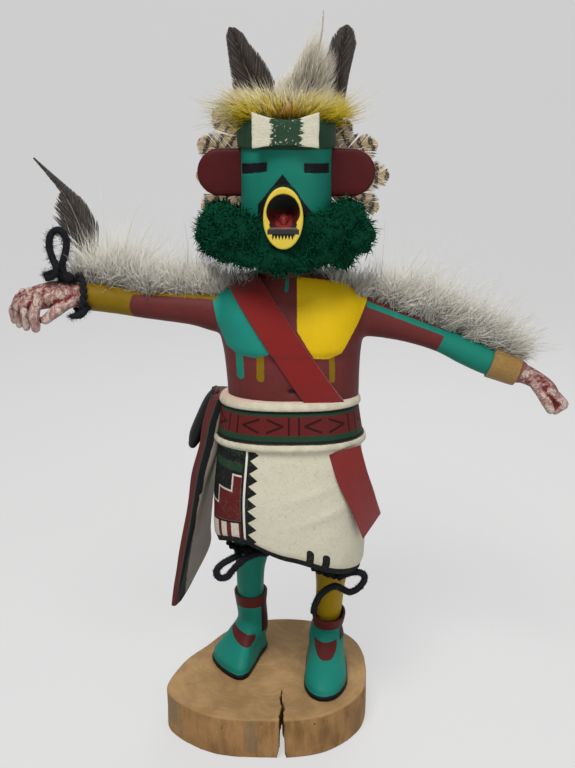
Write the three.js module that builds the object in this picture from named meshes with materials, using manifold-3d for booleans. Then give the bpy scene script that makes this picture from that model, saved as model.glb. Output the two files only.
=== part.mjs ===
// A carved and painted wooden kachina doll on a round slice of wood.
// Millimetres, +Z up. The origin is the middle of the base's underside. The doll faces -Y, so its
// left arm points to +X. Right and left in the names are the doll's own.
import * as THREE from 'three';
import { mergeVertices } from 'three/addons/utils/BufferGeometryUtils.js';
import Module from 'manifold-3d';

const wasm = await Module();
wasm.setup();

// ---- driving dimensions -------------------------------------------------------------------

const CLEARANCE = 0.3; // air left between pieces that touch
const BASE_HEIGHT = 20;
const BASE_CHAMFER = 0.8;
const DOLL_OFFSET = [9, -5.5, 0]; // the doll stands a little off the middle of its base
const SOLE = BASE_HEIGHT + CLEARANCE;

const HEAD_CENTRE = [-0.5, -0.5];
const HEAD_RADIUS = 19.2;
const BAND_RADIUS = 20.6;
const BAND_BOTTOM = 266.5;
const BAND_TOP = 276.5;

const WAIST_CENTRE = [1.1, -2];
const BELT_BOTTOM = 143.4;
const BELT_TOP = 156.6;
const WAIST_LIFT = 2; // how much higher the belt sits in front than at the sides

const YARN = 3; // diameter of the black yarn
const FEATHER = 0.9; // thickness of a flat feather

// ---- small helpers ------------------------------------------------------------------------

const TAU = 2 * Math.PI;
const radians = (degrees) => (degrees * Math.PI) / 180;
const mix = (a, b, t) => a + (b - a) * t;
const point = (x, y, z) => new THREE.Vector3(x, y, z);
const steps = (count) => Array.from({ length: count }, (_, i) => i);

function spline(values, closed = false) {
  // Catmull-Rom through rows of numbers: the function returned takes 0..1 along the rows.
  const last = values.length - 1;
  const row = (i) =>
    closed
      ? values[(i + values.length) % values.length]
      : values[THREE.MathUtils.clamp(i, 0, last)];
  const spans = closed ? values.length : last;
  return (t) => {
    const s = Math.min(t * spans, spans - 1e-9);
    const i = Math.floor(s);
    const f = s - i;
    return row(i).map((_, k) => {
      const [a, b, c, d] = [row(i - 1)[k], row(i)[k], row(i + 1)[k], row(i + 2)[k]];
      return (
        b +
        0.5 * f * (c - a + f * (2 * a - 5 * b + 4 * c - d + f * (3 * (b - c) + d - a)))
      );
    });
  };
}

function resample(values, count, closed = false) {
  const at = spline(values, closed);
  return steps(count).map((i) => at(i / (closed ? count : count - 1)));
}

function fromTriangles(vertices, triangles) {
  const geometry = new THREE.BufferGeometry();
  const positions = vertices.flatMap((v) => [v.x, v.y, v.z]);
  geometry.setAttribute('position', new THREE.Float32BufferAttribute(positions, 3));
  geometry.setIndex(triangles.flat());
  return facingOut(geometry);
}

function facingOut(geometry) {
  // Turns the faces round when the signed volume is negative.
  const p = geometry.getAttribute('position');
  const index = Array.from(geometry.getIndex().array);
  const corner = (i) => new THREE.Vector3().fromBufferAttribute(p, index[i]);
  let volume = 0;
  for (let i = 0; i < index.length; i += 3) {
    volume += corner(i).dot(corner(i + 1).cross(corner(i + 2)));
  }
  if (volume < 0) {
    for (let i = 0; i < index.length; i += 3) {
      [index[i], index[i + 1]] = [index[i + 1], index[i]];
    }
    geometry.setIndex(index);
  }
  return geometry;
}

function loft(rings, { closed = false, capStart, capEnd } = {}) {
  // Skins rings of equal length. An open loft is capped by a fan at each end.
  const n = rings[0].length;
  const vertices = rings.flat();
  const triangles = [];
  const spans = closed ? rings.length : rings.length - 1;
  for (let r = 0; r < spans; r++) {
    const a = r * n;
    const b = ((r + 1) % rings.length) * n;
    for (let i = 0; i < n; i++) {
      const j = (i + 1) % n;
      triangles.push([a + i, a + j, b + j], [a + i, b + j, b + i]);
    }
  }
  if (!closed) {
    const middle = (ring) => ring.reduce((s, v) => s.add(v), point(0, 0, 0)).divideScalar(n);
    const start = vertices.push(capStart ?? middle(rings[0])) - 1;
    const end = vertices.push(capEnd ?? middle(rings.at(-1))) - 1;
    const top = (rings.length - 1) * n;
    for (let i = 0; i < n; i++) {
      const j = (i + 1) % n;
      triangles.push([start, j, i], [end, top + i, top + j]);
    }
  }
  return fromTriangles(vertices, triangles);
}

function superellipse(angle, power) {
  // A point on a circle of radius one, squared off as the power rises above 2.
  const bend = (v) => Math.sign(v) * Math.abs(v) ** (2 / power);
  return [bend(Math.cos(angle)), bend(Math.sin(angle))];
}

function levels(rows, sides, grow = 0, lift = 0) {
  // A stack of flat rings. A row is [z, centre x, centre y, half width, half depth, power].
  const last = rows.length - 1;
  const rings = rows.map(([z, cx, cy, rx, ry, power = 2], k) =>
    steps(sides).map((i) => {
      const [c, s] = superellipse((i / sides) * TAU, power);
      const end = k === 0 ? -grow : k === last ? grow : 0;
      return point(cx + (rx + grow) * c, cy + (ry + grow) * s, z + end - lift * s);
    }),
  );
  return loft(rings);
}

function limb(rows, sides, { grow = 0, count = rows.length, closed = false } = {}) {
  // A round bar along a path. A row is [x, y, z, half height, half depth].
  const stations = resample(rows, count, closed);
  const centre = stations.map(([x, y, z]) => point(x, y, z));
  const rings = stations.map(([, , , tall, deep], k) => {
    const before = centre[closed ? (k + count - 1) % count : Math.max(k - 1, 0)];
    const after = centre[closed ? (k + 1) % count : Math.min(k + 1, count - 1)];
    const along = after.clone().sub(before).normalize();
    const back = point(0, 1, 0).addScaledVector(along, -along.y).normalize();
    const up = back.clone().cross(along);
    const end = closed ? 0 : k === 0 ? -grow : k === count - 1 ? grow : 0;
    return steps(sides).map((i) => {
      const angle = (i / sides) * TAU;
      return centre[k]
        .clone()
        .addScaledVector(along, end)
        .addScaledVector(up, (tall + grow) * Math.cos(angle))
        .addScaledVector(back, (deep + grow) * Math.sin(angle));
    });
  });
  return loft(rings, { closed });
}

function plate(outline, thickness, { bevel = 0, segments = 1 } = {}) {
  // An outline in width and height, stood upright and centred on the plane y = 0.
  const shape = new THREE.Shape(outline.map(([x, z]) => new THREE.Vector2(x, z)));
  const geometry = new THREE.ExtrudeGeometry(shape, {
    depth: thickness - 2 * bevel,
    steps: 1,
    bevelEnabled: bevel > 0,
    bevelThickness: bevel,
    bevelSize: bevel,
    bevelOffset: -bevel,
    bevelSegments: segments,
    curveSegments: 12,
  });
  geometry.translate(0, 0, bevel - thickness / 2);
  geometry.rotateX(Math.PI / 2);
  return geometry;
}

function blob([x, y, z], [rx, ry, rz], columns = 14, rows = 8) {
  const geometry = new THREE.SphereGeometry(1, columns, rows);
  geometry.rotateX(Math.PI / 2);
  geometry.scale(rx, ry, rz);
  geometry.translate(x, y, z);
  return geometry;
}

function solid(geometry) {
  const bare = new THREE.BufferGeometry();
  bare.setAttribute('position', geometry.getAttribute('position').clone());
  if (geometry.getIndex()) bare.setIndex(geometry.getIndex().clone());
  const merged = mergeVertices(bare, 1e-4);
  return new wasm.Manifold(
    new wasm.Mesh({
      numProp: 3,
      vertProperties: new Float32Array(merged.getAttribute('position').array),
      triVerts: new Uint32Array(merged.getIndex().array),
    }),
  );
}

const largest = (piece) => piece.decompose().sort((a, b) => b.volume() - a.volume())[0];
const joined = (geometries) => geometries.map(solid).reduce((sum, piece) => sum.add(piece));

function geometryOf(piece) {
  const { vertProperties, triVerts, numProp } = piece.getMesh();
  const geometry = new THREE.BufferGeometry();
  const positions = [];
  for (let i = 0; i < vertProperties.length; i += numProp) {
    positions.push(vertProperties[i], vertProperties[i + 1], vertProperties[i + 2]);
  }
  geometry.setAttribute('position', new THREE.Float32BufferAttribute(positions, 3));
  geometry.setIndex(Array.from(triVerts));
  return geometry;
}

// ---- the carved figure --------------------------------------------------------------------

function headAndNeck(grow) {
  const [cx, cy] = HEAD_CENTRE;
  const ring = (z, r, power = 2.15) => [z, cx, cy, r, r, power];
  const mask = levels(
    [
      ring(208, 12.5, 2),
      ring(221, 12.5, 2),
      ring(226, 17.4),
      ring(230, HEAD_RADIUS),
      ring(BAND_BOTTOM + 2, HEAD_RADIUS),
      ring(279, HEAD_RADIUS - 1),
      ring(282.5, 13.5),
      ring(283.5, 7),
    ],
    20,
    grow,
  );
  const band = levels(
    [
      ring(BAND_BOTTOM, BAND_RADIUS - 0.8),
      ring(BAND_BOTTOM + 0.8, BAND_RADIUS),
      ring(BAND_TOP - 0.8, BAND_RADIUS),
      ring(BAND_TOP, BAND_RADIUS - 0.8),
    ],
    20,
    grow,
  );
  return [mask, band];
}

const TORSO = [
  // z, centre x, centre y, half width, half depth, power
  [150, 1.8, -2, 28, 23, 2.3],
  [160, 2.6, -2, 28.8, 24, 2.3],
  [170, 2.4, -2, 29.2, 24, 2.3],
  [180, 2.1, -1.5, 30, 22.5, 2.3],
  [189, 1.8, -1, 31.6, 21, 2.3],
  [197, 1.5, -0.5, 33, 19, 2.3],
  [203, 1.3, 0, 32, 17, 2.3],
  [207.5, 1, 0, 27.5, 15.5, 2.2],
  [211, 0.5, 0, 21, 13.8, 2.1],
  [214, 0, 0, 14, 12.5, 2],
];

const torso = (grow) => levels(TORSO, 20, grow);

const RIGHT_ARM = [
  // x, y, z, half height, half depth, from the shoulder to the wrist
  [-14, 0, 195.5, 8.5, 9],
  [-28, -0.5, 196.2, 9.4, 8.8],
  [-40, -1, 197.4, 7.9, 7.4],
  [-52, -1.5, 198.6, 7.1, 6.8],
  [-63, -2, 199.7, 6.6, 6.4],
  [-72, -3, 201.4, 6.6, 6.3],
  [-80, -4, 203, 6.4, 6],
  [-90, -5, 204.4, 5.6, 5.4],
];

const LEFT_ARM = [
  [14, 0, 195.5, 8.5, 9],
  [30, -0.5, 195.2, 9.2, 8.8],
  [43, -1, 192.4, 7.6, 7.4],
  [56, -1.5, 188.4, 6.2, 6.6],
  [67.5, -2, 184, 5.4, 6],
  [78, -3, 179.2, 5.8, 6],
  [90, -4, 174.2, 5.9, 5.8],
  [104, -5, 169.8, 5, 4.8],
];

const arm = (rows, grow) => limb(rows, 10, { grow, count: 8 });

// A finger is a bent bar: root, knuckle and tip.
function finger(root, knuckle, tip, thick, grow) {
  const rows = [root, knuckle, tip].map((place, k) => {
    const radius = thick * [1.05, 1, 0.8][k];
    return [...place, radius, radius];
  });
  return limb(rows, 6, { grow });
}

function rightHand(grow) {
  const palm = limb(
    [
      [-88, -5, 204.3, 5, 5.4],
      [-96, -6, 204.4, 5.4, 6.8],
      [-104, -7, 202.6, 5.4, 7.6],
      [-112, -7.5, 198.8, 4.8, 6.6],
      [-116, -7.5, 195.6, 3.4, 4.6],
    ],
    10,
    { grow, count: 6 },
  );
  const fingers = steps(4).map((i) => {
    const x = -106.6 - 3.5 * i;
    const y = -13 + 3.3 * i;
    return finger([x, y, 201.6 - 1.3 * i], [x - 0.6, y - 2.2, 196.6 - 0.8 * i], [x, y - 1.4, 191.4], 2, grow);
  });
  const thumb = finger([-96.5, -11, 199.5], [-101, -13, 195.8], [-104.6, -13.5, 192], 2.3, grow);
  return [palm, ...fingers, thumb];
}

function leftHand(grow) {
  const palm = limb(
    [
      [102, -5, 170.5, 4.4, 4.6],
      [109, -5.5, 167.4, 3.9, 5.8],
      [115.5, -6, 163, 3.6, 6.4],
      [120, -6, 159.2, 3, 5.8],
    ],
    10,
    { grow, count: 6 },
  );
  const fingers = steps(4).map((i) => {
    const y = -11 + 3.4 * i;
    return finger([117.5, y, 161.6], [122.4, y, 157.6], [120.6, y + 0.4, 154.6], 1.9, grow);
  });
  const thumb = finger([109, -9.5, 165.6], [113.4, -12, 158], [118, -12.5, 153.2], 2.2, grow);
  return [palm, ...fingers, thumb];
}

function waist(grow) {
  // Two rolls of white cloth with the belt between them.
  const row = (z, out) => {
    const slim = mix(1.3, -1, (z - BELT_BOTTOM) / (BELT_TOP - BELT_BOTTOM));
    return [z, ...WAIST_CENTRE, 31.2 + slim + out, 27 + slim * 0.8 + out, 2.3];
  };
  return levels(
    [
      row(136.5, -0.8),
      row(139, 1),
      row(141.4, 1.5),
      row(BELT_BOTTOM, 0),
      row(BELT_TOP, 0.2),
      row(158.6, 1.3),
      row(160.4, 0.6),
      row(161, -1),
    ],
    22,
    grow,
    WAIST_LIFT,
  );
}

// Height of the kilt's hem at even steps round it, from the left side (+X) by the back.
const HEM = [[81], [84], [87], [89], [91], [92], [91], [96], [98], [91.5], [84.5], [81]];
const KILT_TOP = 139;

function kilt(grow) {
  const hemAt = spline(HEM, true);
  const rows = [0, 0.3, 0.65, 0.92, 1];
  const sides = 24;
  const rings = rows.map((down) =>
    steps(sides).map((i) => {
      const angle = (i / sides) * TAU;
      const [c, s] = superellipse(angle, 2.4);
      const hem = hemAt(i / sides)[0];
      const swell = 2.4 * Math.sin(Math.PI * 0.72 * down);
      const tuck = down === 1 ? 1.2 : 0;
      const rx = 32 + swell - tuck + grow;
      const ry = 27.6 + swell * 1.1 - tuck + grow;
      const drop = down === 1 ? grow : 0;
      return point(1 + rx * c, -2 + ry * s, mix(KILT_TOP, hem, down) - drop);
    }),
  );
  return loft(rings, { capEnd: point(1, -1, 96) });
}

const RIGHT_LEG = [
  // x, y, z, half width, half depth, from under the kilt to the ankle
  [-17, 0, 112, 9.5, 10],
  [-16.8, 2, 96, 9, 9.4],
  [-16.8, 4, 84, 8.6, 8.8],
  [-17.6, 7, 72, 6.9, 7.6],
  [-17.8, 10, 60, 6.3, 7.2],
  [-17.4, 15, 42, 6, 7],
];

const LEFT_LEG = [
  [18, 0, 110, 9.5, 10],
  [19.6, 0, 92, 9, 9.4],
  [20.6, 1, 76, 8, 8.6],
  [20.4, 4, 64, 6.7, 7.4],
  [19.8, 7, 52, 6.4, 7],
  [19, 9, 40, 6, 6.8],
];

const leg = (rows, grow) => limb(rows, 9, { grow });

// Soles, from the heel round the outer side to the toes.
const RIGHT_SOLE = [
  [-17, 30], [-26, 26.5], [-33, 19.5], [-37, 12], [-34.6, 3.5], [-29.6, -4],
  [-24, -9], [-19.5, -7.5], [-16.6, 0], [-13.4, 11.5], [-10, 24],
];
const LEFT_SOLE = [
  [18.5, 27], [25.4, 23.5], [28.2, 14], [28.6, 0], [27.6, -14], [22.6, -24.6],
  [16, -27.4], [10.8, -24], [7.8, -15], [8.6, -1], [9.6, 12], [11.6, 23],
];

function moccasin(sole, ankle, top, grow) {
  // The sole's outline shrinks towards the ankle as it rises, then runs straight up the shaft.
  const sides = 15;
  const outline = resample(sole, sides, true);
  const shaftRing = (z, wide, deep, x, y) =>
    steps(sides).map((i) => {
      const [px, py] = outline[i];
      const angle = Math.atan2(py - ankle[1], px - ankle[0]);
      return point(x + (wide + grow) * Math.cos(angle), y + (deep + grow) * Math.sin(angle), z);
    });
  const footRing = (z, towards, out) =>
    outline.map(([px, py]) => {
      const away = Math.hypot(px - ankle[0], py - ankle[1]);
      const pull = mix(1, 8.2 / away, towards) + (out + grow) / away;
      return point(ankle[0] + (px - ankle[0]) * pull, ankle[1] + (py - ankle[1]) * pull, z);
    });
  const rise = top.z - SOLE;
  return loft([
    footRing(SOLE, 0, 0),
    footRing(SOLE + 2, 0, 0),
    footRing(SOLE + 2.4, 0, -0.7),
    footRing(SOLE + 8, 0.2, -1),
    footRing(SOLE + 14, 0.7, 0),
    shaftRing(SOLE + 20, 7.4, 8.2, ankle[0], ankle[1]),
    shaftRing(SOLE + rise * 0.8, 7.3, 8, mix(ankle[0], top.x, 0.8), mix(ankle[1], top.y, 0.8)),
    shaftRing(top.z + grow, 7.9, 8.7, top.x, top.y),
  ]);
}

function figureParts(grow) {
  return {
    upper: [...headAndNeck(grow), torso(grow), arm(RIGHT_ARM, grow), arm(LEFT_ARM, grow)],
    hands: [...rightHand(grow), ...leftHand(grow)],
    lower: [
      waist(grow),
      kilt(grow),
      leg(RIGHT_LEG, grow),
      leg(LEFT_LEG, grow),
      moccasin(RIGHT_SOLE, [-17, 16], { x: -17.8, y: 11.5, z: 57.5 }, grow),
      moccasin(LEFT_SOLE, [19, 9.5], { x: 19.8, y: 6, z: 50 }, grow),
    ],
  };
}

const figureSolid = joined(Object.values(figureParts(0)).flat());
const roomForFigure = joined(Object.values(figureParts(CLEARANCE)).flat());
const clearOfFigure = (geometry) => solid(geometry).subtract(roomForFigure);

// ---- base ---------------------------------------------------------------------------------

const BASE_RIM = [
  // The slice's outline, from +X by the back.
  [46.5, 0], [42.5, 24], [25, 42], [0, 45.7], [-19.5, 34.5], [-30.5, 17.5],
  [-41.5, -1], [-44.5, -25], [-25, -43.5], [0, -46.5], [24.5, -41.5], [41.5, -24],
];

function base() {
  const sides = 32;
  const rim = resample(BASE_RIM, sides, true);
  const ring = (z, inset) =>
    rim.map(([x, y]) => {
      const shrink = 1 - inset / Math.hypot(x, y);
      return point(x * shrink, y * shrink, z);
    });
  const slice = loft([
    ring(0, BASE_CHAMFER),
    ring(BASE_CHAMFER, 0),
    ring(BASE_HEIGHT - BASE_CHAMFER, 0),
    ring(BASE_HEIGHT, BASE_CHAMFER),
  ]);
  // A drying crack, opening from near the middle to the front edge.
  const tip = [6.2, -20];
  const mouth = [6.6, -52];
  const crack = new THREE.BoxGeometry(1, 1, BASE_HEIGHT + 4).toNonIndexed();
  const p = crack.getAttribute('position');
  for (let i = 0; i < p.count; i++) {
    const outer = p.getY(i) < 0;
    const half = outer ? 1.5 : 0.35;
    const [cx, cy] = outer ? mouth : tip;
    p.setXYZ(i, cx + Math.sign(p.getX(i)) * half, cy, p.getZ(i) + BASE_HEIGHT / 2);
  }
  return solid(slice).subtract(solid(crack));
}

// ---- head pieces --------------------------------------------------------------------------

function ear(side) {
  // A thick disc with one straight edge against the mask. side is -1 on the doll's right.
  const height = 9.8;
  const round = steps(13).map((i) => {
    const angle = radians(-90 + 15 * i);
    return [27.4 + 9.8 * Math.cos(angle), 256.5 + height * Math.sin(angle)];
  });
  const outline = [[15, 256.5 - height], ...round, [15, 256.5 + height]];
  const disc = plate(
    outline.map(([x, z]) => [side * x, z]),
    5,
    { bevel: 0.7 },
  );
  disc.translate(HEAD_CENTRE[0], -3, 0);
  return clearOfFigure(disc);
}

const SNOUT = { x: -1.7, z: 240.8, wide: 8, tall: 12.3, front: -34.5 };

function snoutTube(grow) {
  const rows = [
    [-10, 0.2],
    [-20, 0.2],
    [-30, 0],
    [SNOUT.front + 0.6, -0.1],
    [SNOUT.front, -0.8],
  ];
  const rings = rows.map(([y, out], k) =>
    steps(18).map((i) => {
      const angle = (i / 18) * TAU;
      const end = k === rows.length - 1 ? -grow : 0;
      return point(
        SNOUT.x + (SNOUT.wide + out + grow) * Math.cos(angle),
        y + end,
        SNOUT.z + (SNOUT.tall + out + grow) * Math.sin(angle),
      );
    }),
  );
  return loft(rings);
}

function snout() {
  // The open mouth is a hollow that narrows inwards, over a lower lip, with the tongue in it.
  const lip = SNOUT.z - 4.6;
  const roof = SNOUT.z + 9;
  const throat = -25.5;
  const middle = (lip + roof) / 2;
  const rings = [
    [SNOUT.front - 1, 6.4, 7.1],
    [SNOUT.front + 1, 6.1, 6.7],
    [throat + 2, 4.6, 4.2],
    [throat, 3, 2.6],
  ].map(([y, wide, tall]) =>
    steps(12).map((i) => {
      const angle = (i / 12) * TAU;
      const low = Math.sin(angle) < 0 ? 0.9 : 1;
      return point(
        SNOUT.x + wide * Math.cos(angle),
        y,
        middle + tall * low * Math.sin(angle),
      );
    }),
  );
  const tongue = blob([SNOUT.x + 0.3, -27, lip + 2.4], [3.2, 4.6, 2.2], 8, 5);
  return clearOfFigure(snoutTube(0)).subtract(solid(loft(rings))).add(
    solid(tongue).subtract(roomForFigure),
  );
}

function headBow() {
  // A flat bow, lower in the middle than at its ends, on the front of the headband.
  const half = 13.3;
  const top = steps(7).map((i) => {
    const t = 1 - i / 3;
    return [half * t, 278.4 + 2.8 * t * t];
  });
  const bottom = steps(7).map((i) => {
    const t = i / 3 - 1;
    return [half * t, 268.2 - 1 * t * t];
  });
  const bow = plate([...top, ...bottom], 2.6, { bevel: 0.5 });
  bow.translate(-0.8, -22.8, 0);
  return clearOfFigure(bow);
}

function collar(grow) {
  // A thick lumpy ring of yarn under and round the mask, deepest under the chin.
  const turns = 19;
  const sides = 8;
  const rings = steps(turns).map((k) => {
    const around = (k / turns) * TAU;
    const front = 0.5 - 0.5 * Math.sin(around);
    const lump = 0.8 * Math.sin(7 * around) + 0.5 * Math.sin(11 * around + 1);
    const tall = mix(10, 13.2, front) + lump + grow;
    const wide = mix(8, 9.4, front) + lump + grow;
    const out = mix(26.5, 28.6, Math.abs(Math.cos(around)));
    const deep = mix(22.5, 24.5, front);
    const z = mix(231, 230.2, front) + 1.6 * Math.abs(Math.cos(around));
    return steps(sides).map((i) => {
      const angle = (i / sides) * TAU;
      const reach = wide * Math.cos(angle);
      return point(
        -1 + (out + reach) * Math.cos(around),
        -2 + (deep + reach) * Math.sin(around),
        z + tall * Math.sin(angle),
      );
    });
  });
  return loft(rings, { closed: true });
}

function ruff(blockers) {
  const yarnRing = clearOfFigure(collar(0));
  return largest(blockers.reduce((left, piece) => left.subtract(piece), yarnRing));
}

// ---- feathers -----------------------------------------------------------------------------

const UPRIGHT_Y = 8.5;
const UPRIGHT_FOOT = 284.6;
const RIGHT_UPRIGHT = [
  // The tall dark feather's outline in x and z, from its foot up the outer edge.
  [-11, UPRIGHT_FOOT], [-20.5, UPRIGHT_FOOT], [-23.5, 291], [-25.8, 311.5], [-24.4, 314.8], [-21.6, 314.6],
  [-18.4, 312.4], [-16.2, 308.6], [-12.2, 304.8], [-8, 296.2], [-5, 288],
];
const LEFT_UPRIGHT = [
  [20, UPRIGHT_FOOT], [15.4, 288], [16.4, 297], [19, 311], [21.6, 314.6], [24.8, 316], [27.6, 313.8],
  [28.9, 308.4], [27.9, 304.4], [26, 296], [24.2, 286],
];

function uprightFeather(outline) {
  const vane = plate(outline, FEATHER);
  vane.translate(0, UPRIGHT_Y, 0);
  return solid(vane);
}

function fluffBall(centre, size, lumps, columns = 16, rows = 8) {
  // An ellipsoid whose surface swells and dips in soft lumps.
  const geometry = blob([0, 0, 0], [1, 1, 1], columns, rows);
  const p = geometry.getAttribute('position');
  for (let i = 0; i < p.count; i++) {
    const [x, y, z] = [p.getX(i), p.getY(i), p.getZ(i)];
    const swell = 1 + lumps * Math.sin(5 * x + 3 * z) * Math.cos(4 * y - 2 * x);
    p.setXYZ(
      i,
      centre[0] + size[0] * x * swell,
      centre[1] + size[1] * y * swell,
      centre[2] + size[2] * z * swell,
    );
  }
  return geometry;
}

function crownFluff(blockers) {
  const ball = clearOfFigure(fluffBall([0.5, 2, 283], [31, 17, 9.6], 0.08, 11, 6));
  return largest(blockers.reduce((left, piece) => left.subtract(piece), ball));
}

function crownPlume() {
  // The white plume leans to the doll's left and ends in a thin wisp.
  return limb(
    [
      [3, 1, 290, 7.5, 2.6],
      [7, 1, 296, 8.6, 3],
      [11, 1, 303, 7, 2.8],
      [13.6, 1.5, 309, 4.2, 1.8],
      [14.2, 2, 315, 1.4, 0.9],
      [14.6, 2, 321, 0.5, 0.5],
    ],
    8,
    { count: 8 },
  );
}

const FAN = { x: 0.8, z: 253, y: 21.6, first: -20, last: 200, count: 12, layer: 1.25 };

function fanFeather(index) {
  // A short barred feather, standing out from behind the head like a ray.
  const angle = radians(mix(FAN.first, FAN.last, index / (FAN.count - 1)));
  const side = Math.cos(angle);
  const length = 43 + 1.5 * side;
  const half = 4.6;
  const outline = [
    [7, -0.8], [15, -1.4], [22, -half], [length - 4, -half], [length, -half * 0.4],
    [length, half * 0.4], [length - 4, half], [22, half], [15, 1.4], [7, 0.8],
  ];
  const ray = plate(outline, FEATHER);
  ray.rotateY(-angle);
  ray.translate(FAN.x, FAN.y + FAN.layer * (index % 3), FAN.z);
  return solid(ray);
}

const WRIST_FEATHER = [
  // The split brown feather at the right wrist, from its foot up the outer edge to the tip.
  [-85.4, 213], [-94, 224], [-100.6, 236], [-99.6, 241], [-98.6, 246.6], [-104.6, 254.6],
  [-110, 261.8], [-101.6, 254.6], [-95, 249], [-88.6, 243.6], [-83, 234], [-82, 222],
];

// The white down lies along the top and back of each arm.
const DOWN = {
  arm_down_right: [
    { centre: [-45, 6, 215.5], size: [18, 6, 10.5], tilt: -9 },
    { centre: [-78, 5.5, 219.5], size: [14.6, 5.6, 11.5], tilt: -4 },
  ],
  arm_down_left: [
    { centre: [52, 6, 205], size: [18, 6, 9.5], tilt: 21 },
    { centre: [88, 4.5, 191], size: [19, 5.6, 9.5], tilt: 21 },
  ],
};

function armDown({ centre, size, tilt }, blockers) {
  const ball = fluffBall([0, 0, 0], size, 0.1, 12, 6);
  ball.rotateY(radians(tilt));
  ball.translate(...centre);
  return largest(blockers.reduce((left, piece) => left.subtract(piece), clearOfFigure(ball)));
}

// ---- straps, sash and cuff ----------------------------------------------------------------

const STRAP = { width: 13.4, thickness: 0.9, top: [-18.4, 211], bottom: [14, 164.5] };

function shoulderStrap() {
  // The leather strap is the skin of a slightly larger torso, between two slanting planes.
  const [x0, z0] = STRAP.top;
  const [x1, z1] = STRAP.bottom;
  const lean = Math.atan2(x1 - x0, z0 - z1);
  const slab = new THREE.BoxGeometry(STRAP.width, 80, 100);
  slab.rotateY(-lean);
  slab.translate((x0 + x1) / 2, 0, (z0 + z1) / 2);
  const outer = solid(torso(CLEARANCE + STRAP.thickness));
  const band = outer.intersect(solid(slab)).subtract(roomForFigure);
  const floor = new THREE.BoxGeometry(120, 120, 40);
  floor.translate(0, 0, 142.6);
  return largest(band.subtract(solid(floor)));
}

function strapTail() {
  // The strap's loose end below the belt, cut off on a slant.
  const width = 13.6;
  const rows = [
    [24.8, -25.6, 139.5, -6],
    [28.6, -24.8, 128, -9],
    [33, -22.5, 116, -16],
    [37, -19.8, 103.4, -22],
  ];
  const rings = rows.map(([x, y, z, turn], k) => {
    const across = point(Math.cos(radians(turn)), -Math.sin(radians(turn)), 0.27);
    const out = point(-Math.sin(radians(-turn)) * 0.2, -1, 0).normalize();
    const slant = k === rows.length - 1 ? 3.2 : 0;
    const edge = (side) =>
      point(x, y, z)
        .addScaledVector(across, (side * width) / 2)
        .add(point(0, 0, side * slant));
    const half = STRAP.thickness / 2;
    return [
      edge(-1).addScaledVector(out, half),
      edge(1).addScaledVector(out, half),
      edge(1).addScaledVector(out, -half),
      edge(-1).addScaledVector(out, -half),
    ];
  });
  return clearOfFigure(loft(rings));
}

const SASH = [
  // z, front edge x, rear edge x, front y, rear y, thickness
  [158, -32.4, -33, -6, 16, 3.4],
  [148, -35, -35, -8, 18, 4.8],
  [138, -36.8, -36.4, -9, 20, 5.2],
  [126, -40, -37.4, -10, 22, 5.2],
  [112, -42.6, -38, -10, 25, 5],
  [98, -45.2, -38.8, -10, 27.5, 4.6],
  [84, -48.2, -39.6, -9.5, 29, 4.2],
  [71, -51, -40.4, -8.5, 30, 3.6],
  [58, -53.2, -50.6, -7, 0, 2.4],
];

function hipSash() {
  // A curved plank hanging at the right hip, its lower edge cut up towards the back, with the
  // knot's rounded end drooping beside its top.
  const rings = SASH.map(([z, frontX, rearX, frontY, rearY, thick]) => {
    const front = point(frontX, frontY, z);
    const rear = point(rearX, rearY, z);
    const across = rear.clone().sub(front).normalize();
    const out = point(-across.y, across.x, 0);
    const half = thick / 2;
    const corner = Math.min(1, half * 0.6);
    const at = (end, step, side) =>
      end.clone().addScaledVector(across, step).addScaledVector(out, side);
    return [
      at(front, 0, half - corner),
      at(front, corner, half),
      at(rear, -corner, half),
      at(rear, 0, half - corner),
      at(rear, 0, corner - half),
      at(rear, -corner, -half),
      at(front, corner, -half),
      at(front, 0, corner - half),
    ];
  });
  const knotEnd = limb(
    [
      [-32.5, 8, 158.5, 1.6, 5],
      [-35.4, 8, 153.5, 2.6, 7],
      [-38.6, 8, 146, 3, 7.6],
      [-41.6, 8, 138, 3.3, 7.6],
      [-43.6, 8, 132.6, 1.6, 4.4],
    ],
    10,
    { count: 7 },
  );
  return joined([loft(rings), knotEnd]).subtract(roomForFigure);
}

function pathFrame(from, to) {
  // Directions along, above and behind a short straight run.
  const along = to.clone().sub(from).normalize();
  const back = point(0, 1, 0).addScaledVector(along, -along.y).normalize();
  return { along, back, up: back.clone().cross(along) };
}

function wristCuff() {
  // A stiff leather band round the left wrist.
  const from = point(91.4, -4.1, 173.8);
  const to = point(103, -4.9, 169.6);
  const { along, back, up } = pathFrame(from, to);
  const long = from.distanceTo(to);
  const section = [
    [0, 6.3], [0, 7.1], [long, 6.7], [long, 5.9],
  ];
  const rings = steps(16).map((i) => {
    const angle = (i / 16) * TAU;
    return section.map(([run, radius]) =>
      from
        .clone()
        .addScaledVector(along, run)
        .addScaledVector(up, radius * Math.cos(angle))
        .addScaledVector(back, radius * Math.sin(angle)),
    );
  });
  return clearOfFigure(loft(rings, { closed: true }));
}

// ---- black yarn ---------------------------------------------------------------------------

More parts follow.
